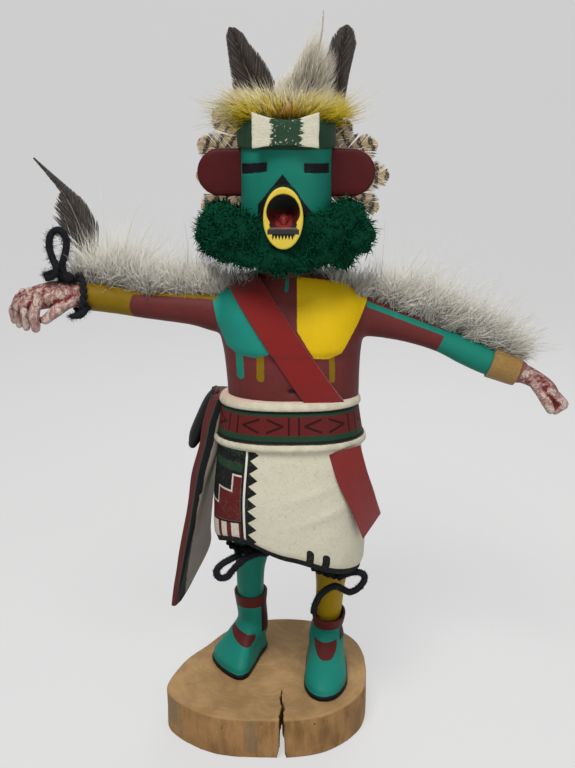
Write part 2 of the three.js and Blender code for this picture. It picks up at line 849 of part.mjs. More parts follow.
function wrap({ centre: [x, y, z], radii: [rx, ry], along, knot }, grow) {
  // Yarn wound once round a limb, with the knot that holds it.
  const thickness = YARN + 2 * grow;
  const direction = point(...along).normalize();
  const back = point(0, 1, 0).addScaledVector(direction, -direction.y).normalize();
  const side = back.clone().cross(direction);
  const turns = 14;
  const sides = 6;
  const rings = steps(turns).map((k) => {
    const around = (k / turns) * TAU;
    const out = side
      .clone()
      .multiplyScalar(Math.cos(around))
      .addScaledVector(back, Math.sin(around));
    const middle = point(x, y, z)
      .addScaledVector(side, rx * Math.cos(around))
      .addScaledVector(back, ry * Math.sin(around));
    return steps(sides).map((i) => {
      const angle = (i / sides) * TAU;
      return middle
        .clone()
        .addScaledVector(out, (thickness / 2) * Math.cos(angle))
        .addScaledVector(direction, (thickness / 2) * Math.sin(angle));
    });
  });
  const lump = blob(knot, [2.6 + grow, 2.2 + grow, 2.4 + grow], 8, 5);
  return joined([loft(rings, { closed: true }), lump]).subtract(roomForFigure);
}

function bow(tie) {
  // The tie's free end: an eight-sided section carried along one loop and a tail.
  const path = new THREE.CatmullRomCurve3(tie.route.map((place) => point(...place)));
  const section = new THREE.Shape(
    steps(8).map((i) => {
      const angle = (i / 8) * TAU;
      return new THREE.Vector2((YARN / 2) * Math.cos(angle), (YARN / 2) * Math.sin(angle));
    }),
  );
  const tube = new THREE.ExtrudeGeometry(section, {
    steps: 11,
    extrudePath: path,
    bevelEnabled: false,
  });
  return clearOfFigure(tube).subtract(wrap(tie, CLEARANCE));
}

// Where each yarn tie is wound, the way the limb runs there, its knot, and its bow's route.
const TIES = {
  garter_right: {
    centre: [-16.9, 4, 87],
    radii: [10.8, 11.2],
    along: [0, 0.1, -1],
    knot: [-19, -8.6, 87],
    route: [
      [-20.8, -11.6, 86.6], [-25.5, -13, 84.8], [-30, -13.6, 82.2], [-32.4, -13.8, 78.8],
      [-31, -13.8, 75.8], [-27.6, -13.6, 76], [-25.4, -14.2, 79], [-22.6, -15.8, 83],
      [-18.6, -16.4, 86.8], [-13.6, -15.8, 88.6], [-8.6, -14.6, 88.4],
    ],
  },
  garter_left: {
    centre: [20.6, 1, 77],
    radii: [10.2, 10.8],
    along: [0, 0.1, -1],
    knot: [21, -11, 76],
    route: [
      [22.8, -13.6, 75.6], [27.4, -14.2, 78], [31.6, -14.6, 79], [34.8, -14.4, 77.4],
      [34.6, -14, 73.8], [31.8, -14, 70.2], [28.2, -14.2, 68.8], [25, -15.4, 71],
      [21.6, -17.4, 73.4], [17.6, -17, 71.4], [14.4, -15.4, 67], [12.6, -13.8, 62],
      [12, -12.6, 57.6],
    ],
  },
  wrist_yarn: {
    centre: [-89.4, -5, 204.3],
    radii: [7.9, 7.8],
    along: [-1, -0.1, 0.1],
    knot: [-91.4, -9, 210.4],
    route: [
      [-93.6, -11, 212.4], [-94.4, -10.6, 218], [-92.8, -10, 223.6], [-93.2, -9, 229],
      [-96.4, -8.4, 232], [-100.2, -8.8, 230.6], [-101.6, -9.6, 226], [-100.2, -11.2, 221],
      [-98, -13, 216], [-98.6, -13.6, 211.6], [-101, -13.4, 209],
    ],
  },
};

// ---- the assembled doll -------------------------------------------------------------------

const finish = (color, roughness) =>
  new THREE.MeshStandardMaterial({ color, roughness, metalness: 0 });

const paintedWood = () => finish(0x6e2b2b, 0.6);
const maroonPaint = () => finish(0x541a1e, 0.6);
const yellowPaint = () => finish(0xd9b53a, 0.6);
const bareWood = () => finish(0xa5835a, 0.75);
const redLeather = () => finish(0x9d2323, 0.8);
const tanLeather = () => finish(0xb58d4a, 0.8);
const greenYarn = () => finish(0x06492e, 0.95);
const blackYarn = () => finish(0x101114, 0.95);
const darkFeather = () => finish(0x3a2f2c, 0.7);
const barredFeather = () => finish(0xbfae90, 0.8);
const whiteDown = () => finish(0xd8d4c6, 0.95);
const yellowDown = () => finish(0xc9b13a, 0.95);

const kachina_doll = new THREE.Group();
const doll = new THREE.Group();
doll.position.set(...DOLL_OFFSET);
kachina_doll.add(doll);

function addPiece(name, shape, material, parent = doll) {
  const geometry = shape instanceof THREE.BufferGeometry ? shape : geometryOf(shape);
  const mesh = new THREE.Mesh(geometry, material);
  mesh.name = name;
  parent.add(mesh);
}

addPiece('base', base(), bareWood(), kachina_doll);
addPiece('figure', figureSolid, paintedWood());

addPiece('ear_right', ear(-1), maroonPaint());
addPiece('ear_left', ear(1), maroonPaint());
addPiece('snout', snout(), yellowPaint());
addPiece('head_bow', headBow(), finish(0xe5dfd0, 0.8));

const strap = shoulderStrap();
const strapRoom = solid(torso(2 * CLEARANCE + STRAP.thickness));
addPiece('ruff', ruff([solid(snoutTube(CLEARANCE)), strapRoom]), greenYarn());
addPiece('shoulder_strap', strap, redLeather());
addPiece('strap_tail', strapTail(), redLeather());
addPiece('hip_sash', hipSash(), maroonPaint());

addPiece('upright_feather_right', uprightFeather(RIGHT_UPRIGHT), darkFeather());
addPiece('upright_feather_left', uprightFeather(LEFT_UPRIGHT), darkFeather());
const plume = crownPlume();
const featherSlot = new THREE.BoxGeometry(80, FEATHER + 2 * CLEARANCE, 60);
featherSlot.translate(0, UPRIGHT_Y, UPRIGHT_FOOT - CLEARANCE + 30);
addPiece('crown_plume', plume, whiteDown());
addPiece('crown_fluff', crownFluff([solid(featherSlot), solid(plume)]), yellowDown());
for (const index of steps(FAN.count)) {
  addPiece(`fan_feather_${index + 1}`, fanFeather(index), barredFeather());
}

const wristFeather = plate(WRIST_FEATHER, FEATHER);
wristFeather.translate(0, 12.6, 0);
addPiece('wrist_feather', wristFeather, darkFeather());
const ruffRoom = solid(collar(CLEARANCE));
for (const [name, puffs] of Object.entries(DOWN)) {
  puffs.forEach((puff, i) => {
    addPiece(`${name}_${i + 1}`, armDown(puff, [strapRoom, ruffRoom]), whiteDown());
  });
}

addPiece('wrist_cuff', wristCuff(), tanLeather());
for (const [name, tie] of Object.entries(TIES)) {
  addPiece(name, wrap(tie, 0), blackYarn());
  addPiece(`${name}_bow`, bow(tie), blackYarn());
}

export default kachina_doll;
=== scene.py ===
"""A carved and painted kachina doll on a slice of wood, dressed in its finishes.

Every visible piece is a surface worked out with numpy in the figure's own millimetres: x to the
doll's left, y to its back, z up, with the origin under the doll on the floor. The doll stands a
little off the middle of its base, so DOLL carries its pieces over into the frame. Right and left
in the names are the doll's own.
"""

import math

import bpy
import numpy as np
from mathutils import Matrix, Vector


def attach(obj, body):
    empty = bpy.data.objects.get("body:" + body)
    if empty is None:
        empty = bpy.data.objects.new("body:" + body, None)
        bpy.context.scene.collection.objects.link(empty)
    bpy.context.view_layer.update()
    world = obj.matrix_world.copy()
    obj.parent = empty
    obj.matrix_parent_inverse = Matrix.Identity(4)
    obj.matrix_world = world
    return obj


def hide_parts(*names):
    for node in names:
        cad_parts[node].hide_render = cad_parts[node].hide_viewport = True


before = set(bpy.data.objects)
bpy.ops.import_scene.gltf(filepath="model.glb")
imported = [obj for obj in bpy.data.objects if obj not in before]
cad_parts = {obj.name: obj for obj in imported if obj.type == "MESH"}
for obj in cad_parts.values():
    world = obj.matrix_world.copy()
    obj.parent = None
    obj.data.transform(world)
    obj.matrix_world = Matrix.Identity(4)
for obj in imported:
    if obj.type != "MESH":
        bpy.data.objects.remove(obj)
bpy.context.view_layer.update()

# ---- driving dimensions, in millimetres ---------------------------------------------------

MM = 0.001
TAU = 2 * np.pi
DOLL = np.array([9.0, -5.5, 0.0])
BASE_PLACE = np.zeros(3)

BASE_HEIGHT = 20.0
SOLE = 20.3
HEAD = (-0.5, -0.5)
MASK_RADIUS = 19.2
MASK_POWER = 2.15
BAND_RADIUS = 20.6
BAND = (266.5, 276.5)
WAIST = (1.1, -2.0)
WAIST_LIFT = 2.0
YARN = 3.0
CHEST_BACK = 2.0

# ---- surfaces -----------------------------------------------------------------------------


def unit(v):
    """Each vector divided by its length."""
    return v / np.maximum(np.linalg.norm(v, axis=-1, keepdims=True), 1e-9)


def ease(t):
    """0 below 0, 1 above 1, and a smooth S-curve, 3tt - 2ttt, in between."""
    t = np.clip(t, 0.0, 1.0)
    return t * t * (3 - 2 * t)


def bell(t):
    """A smooth hump of height 1 about 0: e to the power -tt."""
    return np.exp(-t * t)


def circle(count):
    """Even angles round a full turn."""
    return np.arange(count) / count * TAU


def crosswise(along):
    """The two directions square to a path's: the one nearest to the back, and the one beside it."""
    back = unit(np.array([0.0, 1.0, 0.0]) - along * along[..., 1:2])
    return back, np.cross(back, along)


def through(points, count, closed=False):
    """A Catmull-Rom curve through rows of numbers, read at count even steps."""
    p = np.asarray(points, float)
    spans = len(p) if closed else len(p) - 1
    s = np.arange(count) * spans / (count if closed else count - 1)
    i = np.minimum(s.astype(int), spans - 1)
    f = (s - i).reshape((-1,) + (1,) * (p.ndim - 1))

    def row(k):
        return p[k % len(p)] if closed else p[np.clip(k, 0, len(p) - 1)]

    a, b, c, d = row(i - 1), row(i), row(i + 1), row(i + 2)
    return b + 0.5 * f * (c - a + f * (2 * a - 5 * b + 4 * c - d + f * (3 * (b - c) + d - a)))


def squared_circle(angle, power):
    """A circle of radius 1 whose sides flatten as the power rises above 2."""
    c, s = np.cos(angle), np.sin(angle)
    return np.sign(c) * np.abs(c) ** (2 / power), np.sign(s) * np.abs(s) ** (2 / power)


def unevenness(points, size, depth, seed=0.0):
    """The height of a hand-carved unevenness: three crossed and bent sine waves of that size."""
    x, y, z = (points[..., k] / size * 2.2 + seed * (k + 1) for k in range(3))
    waves = np.sin(x + 1.7 * np.sin(z * 0.8)) + np.sin(z * 1.1 + 1.5 * np.sin(y))
    return depth * (waves + np.sin(y * 1.2 + x * 0.6)) / 3


def outward(grid):
    """The normals of a grid of rings, from the steps along each ring and from ring to ring."""
    across = np.roll(grid, -1, 1) - np.roll(grid, 1, 1)
    return unit(np.cross(across, np.gradient(grid, axis=0)))


def raised_by(grid, height):
    """The grid with each point moved along its normal by its height."""
    return grid + outward(grid) * height[..., None]


def skin(grid, rows_closed=False, marks=None):
    """Faces between the points of a grid of rings. Points at one place are welded, which closes
    its poles, and the faces are turned outwards by the sign of its volume."""
    height, width = grid.shape[:2]
    number = np.arange(height * width).reshape(height, width)
    near = number if rows_closed else number[:-1]
    far = np.roll(number, -1, 0) if rows_closed else number[1:]
    quads = np.stack([near, np.roll(near, -1, 1), np.roll(far, -1, 1), far], -1).reshape(-1, 4)
    points = grid.reshape(-1, 3)
    return welded(points, quads, None if marks is None else marks.reshape(len(points), -1))


def welded(points, quads, marks=None):
    """Merges points at one place, turns quads with two equal corners into triangles, and turns
    the faces outwards."""
    places = np.round(points * 2000).astype(np.int64)
    _, first, new = np.unique(places, axis=0, return_index=True, return_inverse=True)
    quads = new.reshape(-1)[quads]
    points = points[first]
    twin = quads == np.roll(quads, -1, 1)
    count = twin.sum(1)
    triangles = quads[count == 1][~twin[count == 1]].reshape(-1, 3)
    quads = quads[count == 0]
    quads = quads[(quads[:, 0] != quads[:, 2]) & (quads[:, 1] != quads[:, 3])]
    halves = np.concatenate([quads[:, [0, 1, 2]], quads[:, [0, 2, 3]], triangles])
    a, b, c = (points[halves[:, k]] for k in range(3))
    if np.einsum("ij,ij->i", a, np.cross(b, c)).sum() < 0:
        quads, triangles = quads[:, ::-1], triangles[:, ::-1]
    return points, quads, triangles, None if marks is None else marks[first]


def placed(name, data):
    """A new object of the scene that shows the data."""
    made = bpy.data.objects.new(name, data)
    bpy.context.scene.collection.objects.link(made)
    return made


def build(name, parts, finish, replaces=(), origin=DOLL):
    """One mesh object from parts of (points, quads, triangles, marks). The two marks of a point
    are kept in the attributes "along" and "chance", which the finishes read."""
    points = np.concatenate([part[0] for part in parts])
    start = np.cumsum([0] + [len(part[0]) for part in parts])[:-1]
    quads = np.concatenate([part[1].reshape(-1, 4) + s for part, s in zip(parts, start)])
    triangles = np.concatenate([part[2].reshape(-1, 3) + s for part, s in zip(parts, start)])
    mesh = bpy.data.meshes.new(name)
    mesh.vertices.add(len(points))
    mesh.vertices.foreach_set("co", ((points + origin) * MM).astype(np.float32).ravel())
    mesh.loops.add(quads.size + triangles.size)
    corners = np.concatenate([quads.ravel(), triangles.ravel()])
    mesh.loops.foreach_set("vertex_index", corners.astype(np.int32))
    sides = np.concatenate([np.full(len(quads), 4), np.full(len(triangles), 3)])
    mesh.polygons.add(len(sides))
    mesh.polygons.foreach_set("loop_start", (np.cumsum(sides) - sides).astype(np.int32))
    mesh.polygons.foreach_set("use_smooth", np.ones(len(sides), bool))
    mesh.update(calc_edges=True)
    if any(part[3] is not None for part in parts):
        marks = [np.zeros((len(part[0]), 2)) if part[3] is None else part[3] for part in parts]
        for word, numbers in zip(("along", "chance"), np.concatenate(marks).T):
            keep(mesh, word, numbers)
    mesh.materials.append(finish)
    return belongs(placed(name, mesh), replaces)


def keep(mesh, word, numbers):
    """Keeps a number for each point of a mesh as an attribute."""
    made = mesh.attributes.new(word, "FLOAT", "POINT")
    made.data.foreach_set("value", numbers.astype(np.float32))


def belongs(piece, replaces):
    """The piece rides on the doll and stands for its solids."""
    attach(piece, "root")
    if replaces:
        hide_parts(*replaces)
    return piece


def fused(name, parts, voxel, rounds, finish, replaces):
    """Parts that run into each other are made one skin by a voxel remesh, and the joints between
    them are rounded by smoothing."""
    rough = build(name + ".rough", parts, finish)
    remesh = rough.modifiers.new("remesh", "REMESH")
    remesh.mode = "VOXEL"
    remesh.voxel_size = voxel * MM
    remesh.use_smooth_shade = True
    smooth = rough.modifiers.new("smooth", "SMOOTH")
    smooth.factor = 0.5
    smooth.iterations = rounds
    shape = rough.evaluated_get(bpy.context.evaluated_depsgraph_get())
    mesh = bpy.data.meshes.new_from_object(shape)
    bpy.data.objects.remove(rough)
    mesh.name = name
    mesh.materials.clear()
    mesh.materials.append(finish)
    return belongs(placed(name, mesh), replaces)


def stack(rows, sides, count, lift=0.0):
    """Level rings on each other. A row is z, centre x, centre y, half width, half depth, power."""
    z, cx, cy, rx, ry, power = (column[:, None] for column in through(rows, count).T)
    c, s = squared_circle(circle(sides), power)
    return np.stack([cx + rx * c, cy + ry * s, z - lift * s], -1)


def capped(grid):
    """The grid with a pole at each end: the middle of its first and of its last ring."""
    ends = [np.repeat(grid[k].mean(0)[None, None], grid.shape[1], 1) for k in (0, -1)]
    return np.concatenate([ends[0], grid, ends[1]])


def bar(rows, sides, count):
    """A round bar along a path. A row is x, y, z, half height, half depth, and each ring stands
    square to the path."""
    station = through(rows, count)
    centre = station[:, :3]
    back, up = crosswise(unit(np.gradient(centre, axis=0)))
    angle = circle(sides)[None, :, None]
    tall, deep = station[:, None, 3:4], station[:, None, 4:5]
    upright = centre[:, None] + up[:, None] * tall * np.cos(angle)
    return upright + back[:, None] * deep * np.sin(angle)


def plug(rows, sides, count):
    """The skin of a bar with blunt round tips."""
    return skin(capped(bar(rounded(rows), sides, count)))


def rounded(rows):
    """The rows of a bar with both ends drawn in to blunt round tips."""
    rows = [list(map(float, row)) for row in rows]

    def tips(end, beside):
        away = unit(np.array(end[:3]) - np.array(beside[:3]))
        reach = min(end[3], end[4])
        made = []
        for step, size in ((0.55, 0.82), (0.9, 0.45), (1.0, 0.04)):
            made.append([*(np.array(end[:3]) + away * reach * step), end[3] * size, end[4] * size])
        return made

    return tips(rows[0], rows[1])[::-1] + rows + tips(rows[-1], rows[-2])


def standing(flat, y):
    """Rows of x and z as points at the depth y."""
    return np.stack([flat[:, 0], np.broadcast_to(y, len(flat)), flat[:, 1]], -1)


POLE = 99  # drawn in further than any plate is wide


def pillow(outline, middle, rows):
    """A plate carved round at its edge: the outline in x and z is drawn in towards its middle
    by each row of (y, how far the edge is drawn in), and both faces close in a pole."""
    out = np.asarray(outline, float)
    away = np.linalg.norm(out - middle, axis=1, keepdims=True)
    rings = []
    for y, inset in rows:
        rings.append(standing(middle + (out - middle) * np.clip(1 - inset / away, 0, 1), y))
    return np.array(rings)


def strands(roots, directions, lengths, bends, widths, profile, chance, sides=3, flat=1.0, face=None):
    """Thin tapering strands. A strand's middle line is root + length * (direction * s + bend * ss),
    and its profile gives rows of (s, share of its width), closed by a tip at the last one. flat
    squeezes the strand towards the plane square to face, and chance is kept on its points."""
    count = len(roots)
    s, share = np.array(profile, float).T
    s = s[None, :, None]
    line = roots[:, None] + lengths[:, None, None] * (directions[:, None] * s + bends[:, None] * s**2)
    slope = unit(directions[:, None] + 2 * bends[:, None] * s)
    if face is None:
        face = unit(np.cross(directions, np.array([0.31, 0.52, 0.79])))
        face = face[:, None]
    side = unit(np.cross(slope, face))
    thin = np.cross(side, slope)
    angle = circle(sides)
    ring = side[:, :-1, None] * np.cos(angle)[:, None]
    ring = ring + flat * thin[:, :-1, None] * np.sin(angle)[:, None]
    width = (widths[:, None] * share[None, :-1])[..., None, None]
    body = line[:, :-1, None] + ring * width
    rings = body.shape[1]
    points = np.concatenate([body.reshape(count, -1, 3), line[:, -1:]], 1)
    each = rings * sides + 1
    start = (np.arange(count) * each)[:, None]
    k = np.arange(sides)
    after = (k + 1) % sides
    low = np.arange(rings - 1)[:, None] * sides
    high = low + sides
    quads = np.stack([low + k, low + after, high + after, high + k], -1).reshape(-1, 4)
    last = (rings - 1) * sides
    tips = np.stack([last + k, last + after, np.full(sides, each - 1)], -1)
    fan = np.arange(1, sides - 1)
    foot = np.stack([np.zeros(sides - 2, int), fan + 1, fan], -1)
    triangles = np.concatenate([tips, foot])
    along = np.concatenate([np.repeat(s[0, :-1, 0], sides), s[0, -1]])
    marks = np.stack(np.broadcast_arrays(along[None], chance[:, None]), -1)
    return (
        points.reshape(-1, 3),
        (quads[None] + start[..., None]).reshape(-1, 4),
        (triangles[None] + start[..., None]).reshape(-1, 3),
        marks.reshape(-1, 2),
    )


HAIR = ((0, 1), (0.35, 0.85), (0.72, 0.5), (1, 0))
BARB = ((0, 1), (0.5, 0.95), (0.85, 0.7), (1, 0))
LOCK = ((0, 0.95), (0.55, 0.62), (1, 0))


def hairs(roots, aims, lengths, bends, width, profile, dice):
    """Strands of one width, each with its own random chance."""
    count = len(roots)
    return strands(roots, aims, lengths, bends, np.full(count, width), profile, dice.random(count))


def random_directions(dice, count):
    """Unit vectors spread evenly over all directions."""
    return unit(dice.normal(size=(count, 3)))


def fuzz(grid, count, length, width, dice):
    """Short hairs standing out of a grid's surface at random places and leanings."""
    normal = outward(grid)
    rows = dice.integers(1, grid.shape[0] - 1, count)
    columns = dice.integers(0, grid.shape[1], count)
    roots = grid[rows, columns]
    aim = unit(normal[rows, columns] + 0.75 * random_directions(dice, count))
    bends = 0.5 * random_directions(dice, count)
    lengths = length * dice.uniform(0.4, 1.2, count)
    return hairs(roots, aim, lengths, bends, width, LOCK, dice)


# ---- shading ------------------------------------------------------------------------------


class Shade:
    """A number or colour that varies over a surface. Python operators on it add Math nodes."""

    def __init__(self, finish, socket):
        self.finish = finish
        self.socket = socket

    def math(self, operation, *values, clamp=False):
        settings = {"operation": operation, "use_clamp": clamp}
        return self.finish.node("ShaderNodeMath", settings, dict(enumerate(values)))

    def __add__(self, other):
        return self.math("ADD", self, other)

    __radd__ = __add__

    def __sub__(self, other):
        return self.math("SUBTRACT", self, other)

    def __rsub__(self, other):
        return self.math("SUBTRACT", other, self)

    def __mul__(self, other):
        return self.math("MULTIPLY", self, other)

    __rmul__ = __mul__

    def __truediv__(self, other):
        return self.math("DIVIDE", self, other)

    def __neg__(self):
        return self * -1

    def __abs__(self):
        return self.math("ABSOLUTE", self)

    def __mod__(self, other):
        return self.math("FLOORED_MODULO", self, other)

    def low(self, *others):
        """The smallest of the numbers."""
        made = self
        for other in others:
            made = self.math("MINIMUM", made, other)
        return made

    def high(self, *others):
        """The largest of the numbers."""
        made = self
        for other in others:
            made = self.math("MAXIMUM", made, other)
        return made

    def sin(self):
        return self.math("SINE", self)

    def over(self, soft=0.25):
        """1 where this distance in millimetres is above 0, fading over a width of soft."""
        return self.math("MULTIPLY_ADD", self, 1 / soft, 0.5, clamp=True)

    def near(self, middle, half):
        """The distance inside a stripe about middle: half - |this - middle|."""
        return half - abs(self - middle)


def distance(across, up):
    """How far a point is that lies so far across and so far up."""
    squares = across * across + up * up
    return squares.math("SQRT", squares)


def lit(red, green, blue):
    """A linear colour from red, green and blue of 0 to 255 in sRGB."""
    part = np.array([red, green, blue]) / 255
    linear = np.where(part <= 0.04045, part / 12.92, ((part + 0.055) / 1.055) ** 2.4)
    return (*linear.tolist(), 1.0)


class Finish:
    """A material on a Principled shader, built up in coats."""

    def __init__(self, name, color, **constants):
        self.material = bpy.data.materials.new(name)
        self.material.use_nodes = True
        self.tree = self.material.node_tree
        self.shader = self.tree.nodes["Principled BSDF"]
        self.kept = {}
        self.color = color
        for word, value in constants.items():
            self.shader.inputs[word.replace("_", " ")].default_value = value

    def node(self, kind, settings, values, output=0):
        """Adds a node: its settings first, then the values or links of its sockets."""
        made = self.tree.nodes.new(kind)
        for word, value in settings.items():
            setattr(made, word, value)
        for socket, value in values.items():
            self.join(made.inputs[socket], value)
        return Shade(self, made.outputs[output])

    def join(self, socket, value):
        if isinstance(value, Shade):
            self.tree.links.new(value.socket, socket)
        elif isinstance(value, tuple):
            socket.default_value = value[: len(socket.default_value)]
        else:
            socket.default_value = value

    def once(self, word, maker):
        if word not in self.kept:
            self.kept[word] = maker()
        return self.kept[word]

    def figure(self):
        """A point of the surface in the figure's millimetres, as one vector."""

        def make():
            here = self.node("ShaderNodeTexCoord", {}, {}, "Object")
            values = {0: here, 1: (1 / MM,) * 3, 2: tuple(-DOLL)}
            return self.node("ShaderNodeVectorMath", {"operation": "MULTIPLY_ADD"}, values)

        return self.once("figure", make)

    def place(self):
        """x, y and z of that point."""

        def make():
            here = {0: self.figure()}
            return [self.node("ShaderNodeSeparateXYZ", {}, here, axis) for axis in "XYZ"]

        return self.once("place", make)

    def mark(self, word):
        """A number kept on the mesh."""
        settings = {"attribute_name": word}
        return self.once(word, lambda: self.node("ShaderNodeAttribute", settings, {}, "Fac"))

    def noise(self, size, detail, rough=0.5, stretch=None, bend=0.0):
        """A soft noise from 0 to 1 with lumps of that size, drawn out by stretch along x, y, z."""
        where = self.figure()
        if stretch:
            settings = {"operation": "MULTIPLY"}
            where = self.node("ShaderNodeVectorMath", settings, {0: where, 1: stretch})
        values = {"Vector": where, "Scale": 1 / size, "Detail": detail, "Roughness": rough}
        return self.node("ShaderNodeTexNoise", {}, {**values, "Distortion": bend}, "Fac")

    def wander(self):
        """The hand's wavering, a small distance in millimetres added to painted edges."""
        return self.once("wander", lambda: (self.noise(1.6, 2.0) - 0.5) * 0.7)

    def coat(self, mask, color):
        """Another colour over the ones before, where the mask is 1."""
        values = {0: mask, 6: self.color, 7: color}
        self.color = self.node("ShaderNodeMix", {"data_type": "RGBA"}, values, 2)

    def shape(self, u, v, corners):
        """The distance inside a convex polygon: the least of the distances to its edges."""
        p = np.asarray(corners, float)
        q = np.roll(p, -1, 0)
        if np.sum(p[:, 0] * q[:, 1] - q[:, 0] * p[:, 1]) < 0:
            p, q = q, p
        made = None
        for a, b in zip(p, q):
            nx, ny = np.array([a[1] - b[1], b[0] - a[0]]) / math.dist(a, b)
            rest = u.math("MULTIPLY_ADD", u, float(nx), float(-a[0] * nx - a[1] * ny))
            part = u.math("MULTIPLY_ADD", v, float(ny), rest)
            made = part if made is None else made.low(part)
        return made

    def stroke(self, u, v, start, end, width):
        """The distance inside a straight stroke of the brush between two points."""
        a, b = np.asarray(start, float), np.asarray(end, float)
        side = np.array([a[1] - b[1], b[0] - a[0]]) / math.dist(a, b) * width / 2
        return self.shape(u, v, [a - side, b - side, b + side, a + side])

    def done(self, roughness, spread, height=None, tone=0.12, size=6.0):
        """Links the colour, toned by a noise, the roughness and the relief, in millimetres."""
        sockets = self.shader.inputs
        values = {0: self.color, "Scale": 1 - tone + 2 * tone * self.noise(size, 4.0, 0.6)}
        toned = self.node("ShaderNodeVectorMath", {"operation": "SCALE"}, values)
        self.join(sockets["Base Color"], toned)
        dullness = roughness - spread / 2 + spread * self.noise(2.5, 3.0)
        self.join(sockets["Roughness"], dullness)
        if height is not None:
            values = {"Height": height, "Distance": MM, "Strength": 1.0}
            self.join(sockets["Normal"], self.node("ShaderNodeBump", {}, values, "Normal"))
        return self.material


TURQUOISE = lit(24, 120, 106)
DEEP_TURQUOISE = lit(22, 112, 96)
MAROON = lit(88, 38, 38)
DARK_RED = lit(90, 28, 28)
BAND_RED = lit(84, 34, 32)
YELLOW = lit(198, 164, 8)
OCHRE = lit(114, 90, 6)
SNOUT_YELLOW = lit(200, 176, 66)
BLACK = lit(22, 23, 25)
WHITE = lit(196, 192, 172)
LEAF_GREEN = lit(30, 58, 40)


def painted(name, color, brush=(1, 1, 0.25), **constants):
    """Water paint on wood, with brush marks drawn out along the stroke. brush is the noise's
    stretch, small along the stroke. Returns the finish and its relief, for the coats."""
    finish = Finish(name, color, Specular_IOR_Level=0.12, **constants)
    marks = finish.noise(0.9, 3.0, 0.6, stretch=brush)
    grain = finish.noise(0.35, 2.0)
    return finish, marks * 0.10 + grain * 0.05


# ---- camera and light ---------------------------------------------------------------------


def aim(name, data, place, target):
    """Adds a camera or lamp at a place, looking at a target, both in the frame's millimetres."""
    made = placed(name, data)
    made.location = Vector(place) * MM
    look = (Vector(target) - Vector(place)).normalized()
    made.rotation_euler = look.to_track_quat("-Z", "Y").to_euler()
    return made


EYE = (9.0, -455.5, 290.0)
PITCH = math.radians(15.7)
LAMPS_LOOK_AT = (0, 0, 170)
lens = bpy.data.cameras.new("camera")
lens.lens = 49.2
lens.sensor_width = 36.0
lens.clip_start, lens.clip_end = 0.01, 20.0
ahead = (EYE[0], EYE[1] + 100 * math.cos(PITCH), EYE[2] - 100 * math.sin(PITCH))
bpy.context.scene.camera = aim("camera", lens, EYE, ahead)
bpy.context.scene.view_settings.view_transform = "Standard"


def lamp(name, place, size, watts, color=(1, 1, 1)):
    data = bpy.data.lights.new(name, "AREA")
    data.shape = "DISK"
    data.size = size * MM
    data.energy = watts
    data.color = color
    aim(name, data, place, LAMPS_LOOK_AT)


lamp("key_light", (-170, -520, 980), 420, 9.0, (1.0, 0.985, 0.96))
lamp("fill_light", (420, -640, 420), 700, 2.0, (0.96, 0.98, 1.0))
lamp("back_light", (150, 520, 620), 600, 2.0)
world = bpy.data.worlds.new("studio")
bpy.context.scene.world = world
world.use_nodes = True
background = world.node_tree.nodes["Background"]
background.inputs["Color"].default_value = (0.68, 0.68, 0.68, 1)
background.inputs["Strength"].default_value = 0.25


def stage():
    """A pale floor that runs back and curves up: straight, then a quarter of a circle, then up."""
    near, run, bend, rise, half = -1600.0, 900.0, 700.0, 1200.0, 2600.0
    quarter = np.linspace(0, np.pi / 2, 24)
    curve = np.stack([run + bend * np.sin(quarter), bend - bend * np.cos(quarter)], -1)
    profile = np.concatenate([[[near, 0.0]], curve, [[run + bend, bend + rise]]])
    points = [(x * MM, y * MM, z * MM) for y, z in profile for x in (-half, half)]
    quads = [(2 * k, 2 * k + 1, 2 * k + 3, 2 * k + 2) for k in range(len(profile) - 1)]
    finish = Finish("pale_floor", lit(120, 120, 120), Roughness=0.9, Specular_IOR_Level=0.1)
    finish.shader.inputs["Emission Color"].default_value = lit(255, 255, 255)
    finish.shader.inputs["Emission Strength"].default_value = 0.53
    mesh = bpy.data.meshes.new("floor")
    mesh.from_pydata(points, [], quads)
    mesh.polygons.foreach_set("use_smooth", np.ones(len(quads), bool))
    mesh.materials.append(finish.done(0.9, 0.02, tone=0.01, size=400))
    floor = placed("floor", mesh)


stage()

# ---- black yarn: the three free ends, and what is wound round the limbs -------------------

